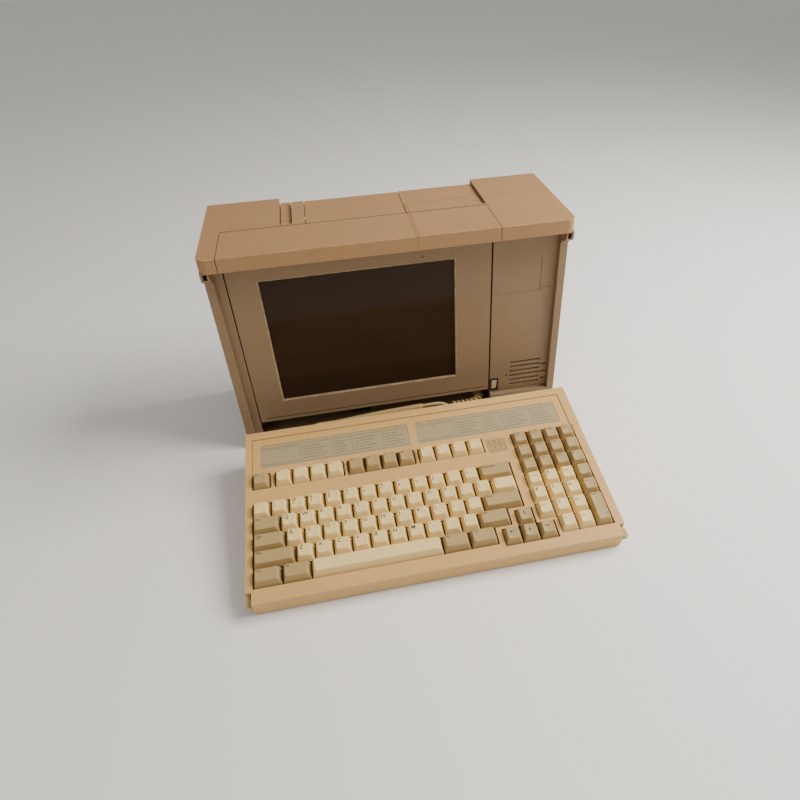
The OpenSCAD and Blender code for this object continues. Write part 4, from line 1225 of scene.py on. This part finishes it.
class LUGGABLE_OT_keyboard_shell(bpy.types.Operator):
    """Make the keyboard's shells, latches, feet, lamp plate and inner parts."""

    bl_idname = "luggable.keyboard_shell"
    bl_label = "Keyboard shell"

    def execute(self, context):
        rounded(
            "keyboard_top_moulding", "keyboard_top", cream_plastic(), "keyboard", 0.4,
            cuts=[((-0.5, 133, -0.9), (0.2, 183, 1)), ((371.8, 133, -0.9), (372.5, 183, 1)),
                  ((-0.5, 182.3, -0.9), (372.5, 183, 1))], place=KEYBOARD,
        )
        ribs = [((first * PITCH + 1.6, 6 * PITCH + 1.2, -0.5), (first * PITCH + 3.3, 7 * PITCH - 3.0, 1.3))
                for first in (1.0, 5.28, 9.53)]
        bm = blocks(ribs, KEYBOARD)
        bevel_edges(bm, sharp_edges(bm), 0.4, 2)
        add_mesh("key_group_ribs", bm, cream_plastic(), "keyboard")
        rounded("keyboard_base_moulding", "keyboard_base", cream_plastic(), "keyboard", 0.5)
        rounded("key_switch_housings", "key_switches", black_plastic(), "keyboard", 0.2)
        rounded("keyboard_circuit_board", "keyboard_board", circuit_board(), "keyboard", 0.2)
        rounded("lamp_strip", "lamp_plate", tan_cap_plastic(), "keyboard", 0.15)
        add_mesh("lamp_plate_lines", blocks(lamp_lines(), KEYBOARD), ink(), "keyboard")
        rounded("latch_left", "keyboard_latch_left", tan_cap_plastic(), "latch_left", 0.4)
        rounded("latch_right", "keyboard_latch_right", tan_cap_plastic(), "latch_right", 0.4)
        rounded("foot_left", "tilt_foot_left", cream_plastic(), "foot_left", 0.5)
        rounded("foot_right", "tilt_foot_right", cream_plastic(), "foot_right", 0.5)
        rounded("keyboard_rubber_feet", "keyboard_feet", rubber(), "keyboard", 0.5)
        return {"FINISHED"}


LAMP_LEFT = 269.6
LAMP_STEP = 6.3
LAMP_W = 5.6
LAMP_H = 6.2
LAMP_FRONTS = (114.8, 122.6)
RULE_W = 0.3


def lamp_lines():
    """Thin printed boxes on the lamp plate: one row of three over another."""
    low, high = 0.38, 0.45
    lines = []
    for left in (LAMP_LEFT + i * LAMP_STEP for i in range(3)):
        for front in LAMP_FRONTS:
            right, back = left + LAMP_W, front + LAMP_H
            for a0, a1, b0, b1 in ((left, right, front, front + RULE_W), (left, right, back - RULE_W, back),
                                   (left, left + RULE_W, front, back), (right - RULE_W, right, front, back)):
                lines.append(((a0, b0, low), (a1, b1, high)))
    return lines


STRIPS = ((9.6, 180.0), (190.2, 362.4))
INK_LOW = -0.32
INK_HIGH = -0.24


def rule_line(a0, a1, b0, b1):
    """One printed line on a label strip."""
    return ((a0, b0, INK_LOW), (a1, b1, INK_HIGH))


def strip_rules():
    """Plain ruled lines of both strips: an outline, column bars, and ragged rows between them."""
    lines = []
    for left, right in STRIPS:
        for a0, a1, b in ((left + 0.9, right - 0.9, 143.2), (left + 0.9, right - 0.9, 168.4),
                          (left + 2.5, left + 42, 145.6), (left + 2.5, left + 42, 166.2)):
            lines.append(rule_line(a0, a1, b, b + RULE_W))
        for bar in (45, 82, 104, 140):
            lines.append(rule_line(left + bar, left + bar + RULE_W, 145.4, 166.6))
        for start, length in ((left + 48, 31), (left + 84.5, 17), (left + 107, 30), (left + 142.5, 25)):
            for k in range(5):
                ragged = length * (0.62 + 0.3 * ((k * 7 + int(start)) % 5) / 4)
                lines.append(rule_line(start, start + ragged, 147.2 + k * 4.0, 147.7 + k * 4.0))
    return lines


class LUGGABLE_OT_label_strips(bpy.types.Operator):
    """Make the two recessed label strips above the function keys."""

    bl_idname = "luggable.label_strips"
    bl_label = "Label strips"

    def execute(self, context):
        strip = moulded(
            "label strip sheet", srgb(164, 150, 118), srgb(155, 138, 101), srgb(187, 169, 134),
            srgb(120, 108, 83), rough=0.35, soiling=0.12, pebbles=2500, depth=0.01,
        )
        rounded("label_strip_sheets", "label_strips", strip, "keyboard", 0.2)
        add_mesh("label_strip_rules", blocks(strip_rules(), KEYBOARD), strip_ink(), "keyboard")
        return {"FINISHED"}


class LUGGABLE_OT_keys(bpy.types.Operator):
    """Make every key cap and its plain legend."""

    bl_idname = "luggable.keys"
    bl_label = "Keys"

    def execute(self, context):
        looks = context.scene.luggable_keyboard
        dish, size = looks.dish / MM, looks.legend_height / MM
        finishes = {"pale": cream_cap_plastic(), "tan": tan_cap_plastic()}
        for node, body, rows, tone in KEY_GROUPS:
            caps, dark_caps, legends = bmesh.new(), bmesh.new(), bmesh.new()
            entries = [(row, key, 1) for row, keys in rows for key in keys]
            if node == "control_pad_keys":
                entries.append((PAD_ENTER[0], PAD_ENTER[1][0], 2))
            for row, (first, last, words), depth in entries:
                hollow = -0.35 if node == "space_bar" else dish
                add_cap(dark_caps if words in DARK_FUNCTION_KEYS else caps, row, first, last, hollow, depth)
                if words:
                    add_legend(legends, row, first, last, words, size, hollow, depth)
            add_mesh(node + "_caps", caps, finishes[tone], body, (node,), 50)
            if len(dark_caps.verts):
                add_mesh(node + "_dark_caps", dark_caps, finishes["tan"], body, (node,), 50)
            else:
                dark_caps.free()
            if len(legends.verts):
                add_mesh(node + "_legends", legends, ink(), body)
            else:
                legends.free()
        return {"FINISHED"}


class LUGGABLE_OT_stage(bpy.types.Operator):
    """Lay a pale floor and set soft studio lights."""

    bl_idname = "luggable.stage"
    bl_label = "Floor and lights"

    def execute(self, context):
        looks = context.scene.luggable_stage
        bm = bmesh.new()
        bmesh.ops.create_grid(bm, x_segments=2, y_segments=2, size=6)
        mesh = bpy.data.meshes.new("floor")
        bm.to_mesh(mesh)
        bm.free()
        material, nodes, links, shader = start_material("pale floor", 0.85)
        tone = noise_node(nodes, links, 3.0, 2.0)
        shade = mix_colour(nodes, links, tone, srgb(244, 243, 241), srgb(240, 239, 236))
        links.new(shade, shader.inputs["Base Color"])
        mesh.materials.append(material)
        floor = bpy.data.objects.new("floor", mesh)
        context.scene.collection.objects.link(floor)
        for name, place, power, width, warmth in (
            ("key_light", (1.05, -0.12, 1.12), looks.key_power, 0.9, (1.0, 0.94, 0.86)),
            ("fill_light", (-1.1, -1.2, 1.2), looks.fill_power, 1.6, (1.0, 0.95, 0.9)),
        ):
            data = bpy.data.lights.new(name, "AREA")
            data.energy = power
            data.size = width
            data.color = warmth
            light = bpy.data.objects.new(name, data)
            light.location = place
            light.rotation_euler = (Vector((0, 0, 0.1)) - Vector(place)).to_track_quat("-Z", "Y").to_euler()
            context.scene.collection.objects.link(light)
        world = bpy.data.worlds.new("studio")
        world.use_nodes = True
        background = world.node_tree.nodes["Background"]
        background.inputs["Color"].default_value = (1.0, 0.97, 0.93, 1.0)
        background.inputs["Strength"].default_value = looks.surround
        context.scene.world = world
        return {"FINISHED"}


class LUGGABLE_PT_panel(bpy.types.Panel):
    """Sidebar panel with the settings and the steps in order."""

    bl_idname = "LUGGABLE_PT_panel"
    bl_label = "Luggable computer"
    bl_space_type = "VIEW_3D"
    bl_region_type = "UI"
    bl_category = "Luggable"

    def draw(self, context):
        layout = self.layout
        scene = context.scene
        for group in (scene.luggable_case, scene.luggable_keyboard, scene.luggable_stage):
            box = layout.box()
            for name in group.bl_rna.properties.keys():
                if name not in ("rna_type", "name"):
                    box.prop(group, name)
        for step in STEPS:
            layout.operator(step.bl_idname)


STEPS = (
    LUGGABLE_OT_camera, LUGGABLE_OT_cord, LUGGABLE_OT_case, LUGGABLE_OT_display, LUGGABLE_OT_front_panel,
    LUGGABLE_OT_handle, LUGGABLE_OT_innards, LUGGABLE_OT_rear_fittings, LUGGABLE_OT_keyboard_shell,
    LUGGABLE_OT_label_strips, LUGGABLE_OT_keys, LUGGABLE_OT_stage,
)
CLASSES = (LuggableCaseLooks, LuggableKeyboardLooks, LuggableStageLooks, *STEPS, LUGGABLE_PT_panel)


def register():
    """Register the settings, the steps and the panel."""
    for made in CLASSES:
        bpy.utils.register_class(made)
    scene_type = bpy.types.Scene
    scene_type.luggable_case = bpy.props.PointerProperty(type=LuggableCaseLooks)
    scene_type.luggable_keyboard = bpy.props.PointerProperty(type=LuggableKeyboardLooks)
    scene_type.luggable_stage = bpy.props.PointerProperty(type=LuggableStageLooks)


def unregister():
    """Take the settings, the steps and the panel away again."""
    for name in ("luggable_case", "luggable_keyboard", "luggable_stage"):
        delattr(bpy.types.Scene, name)
    for made in reversed(CLASSES):
        bpy.utils.unregister_class(made)


def main():
    """Run every step in order."""
    register()
    for step in STEPS:
        area, name = step.bl_idname.split(".")
        getattr(getattr(bpy.ops, area), name)()


if __name__ == "__main__":
    main()
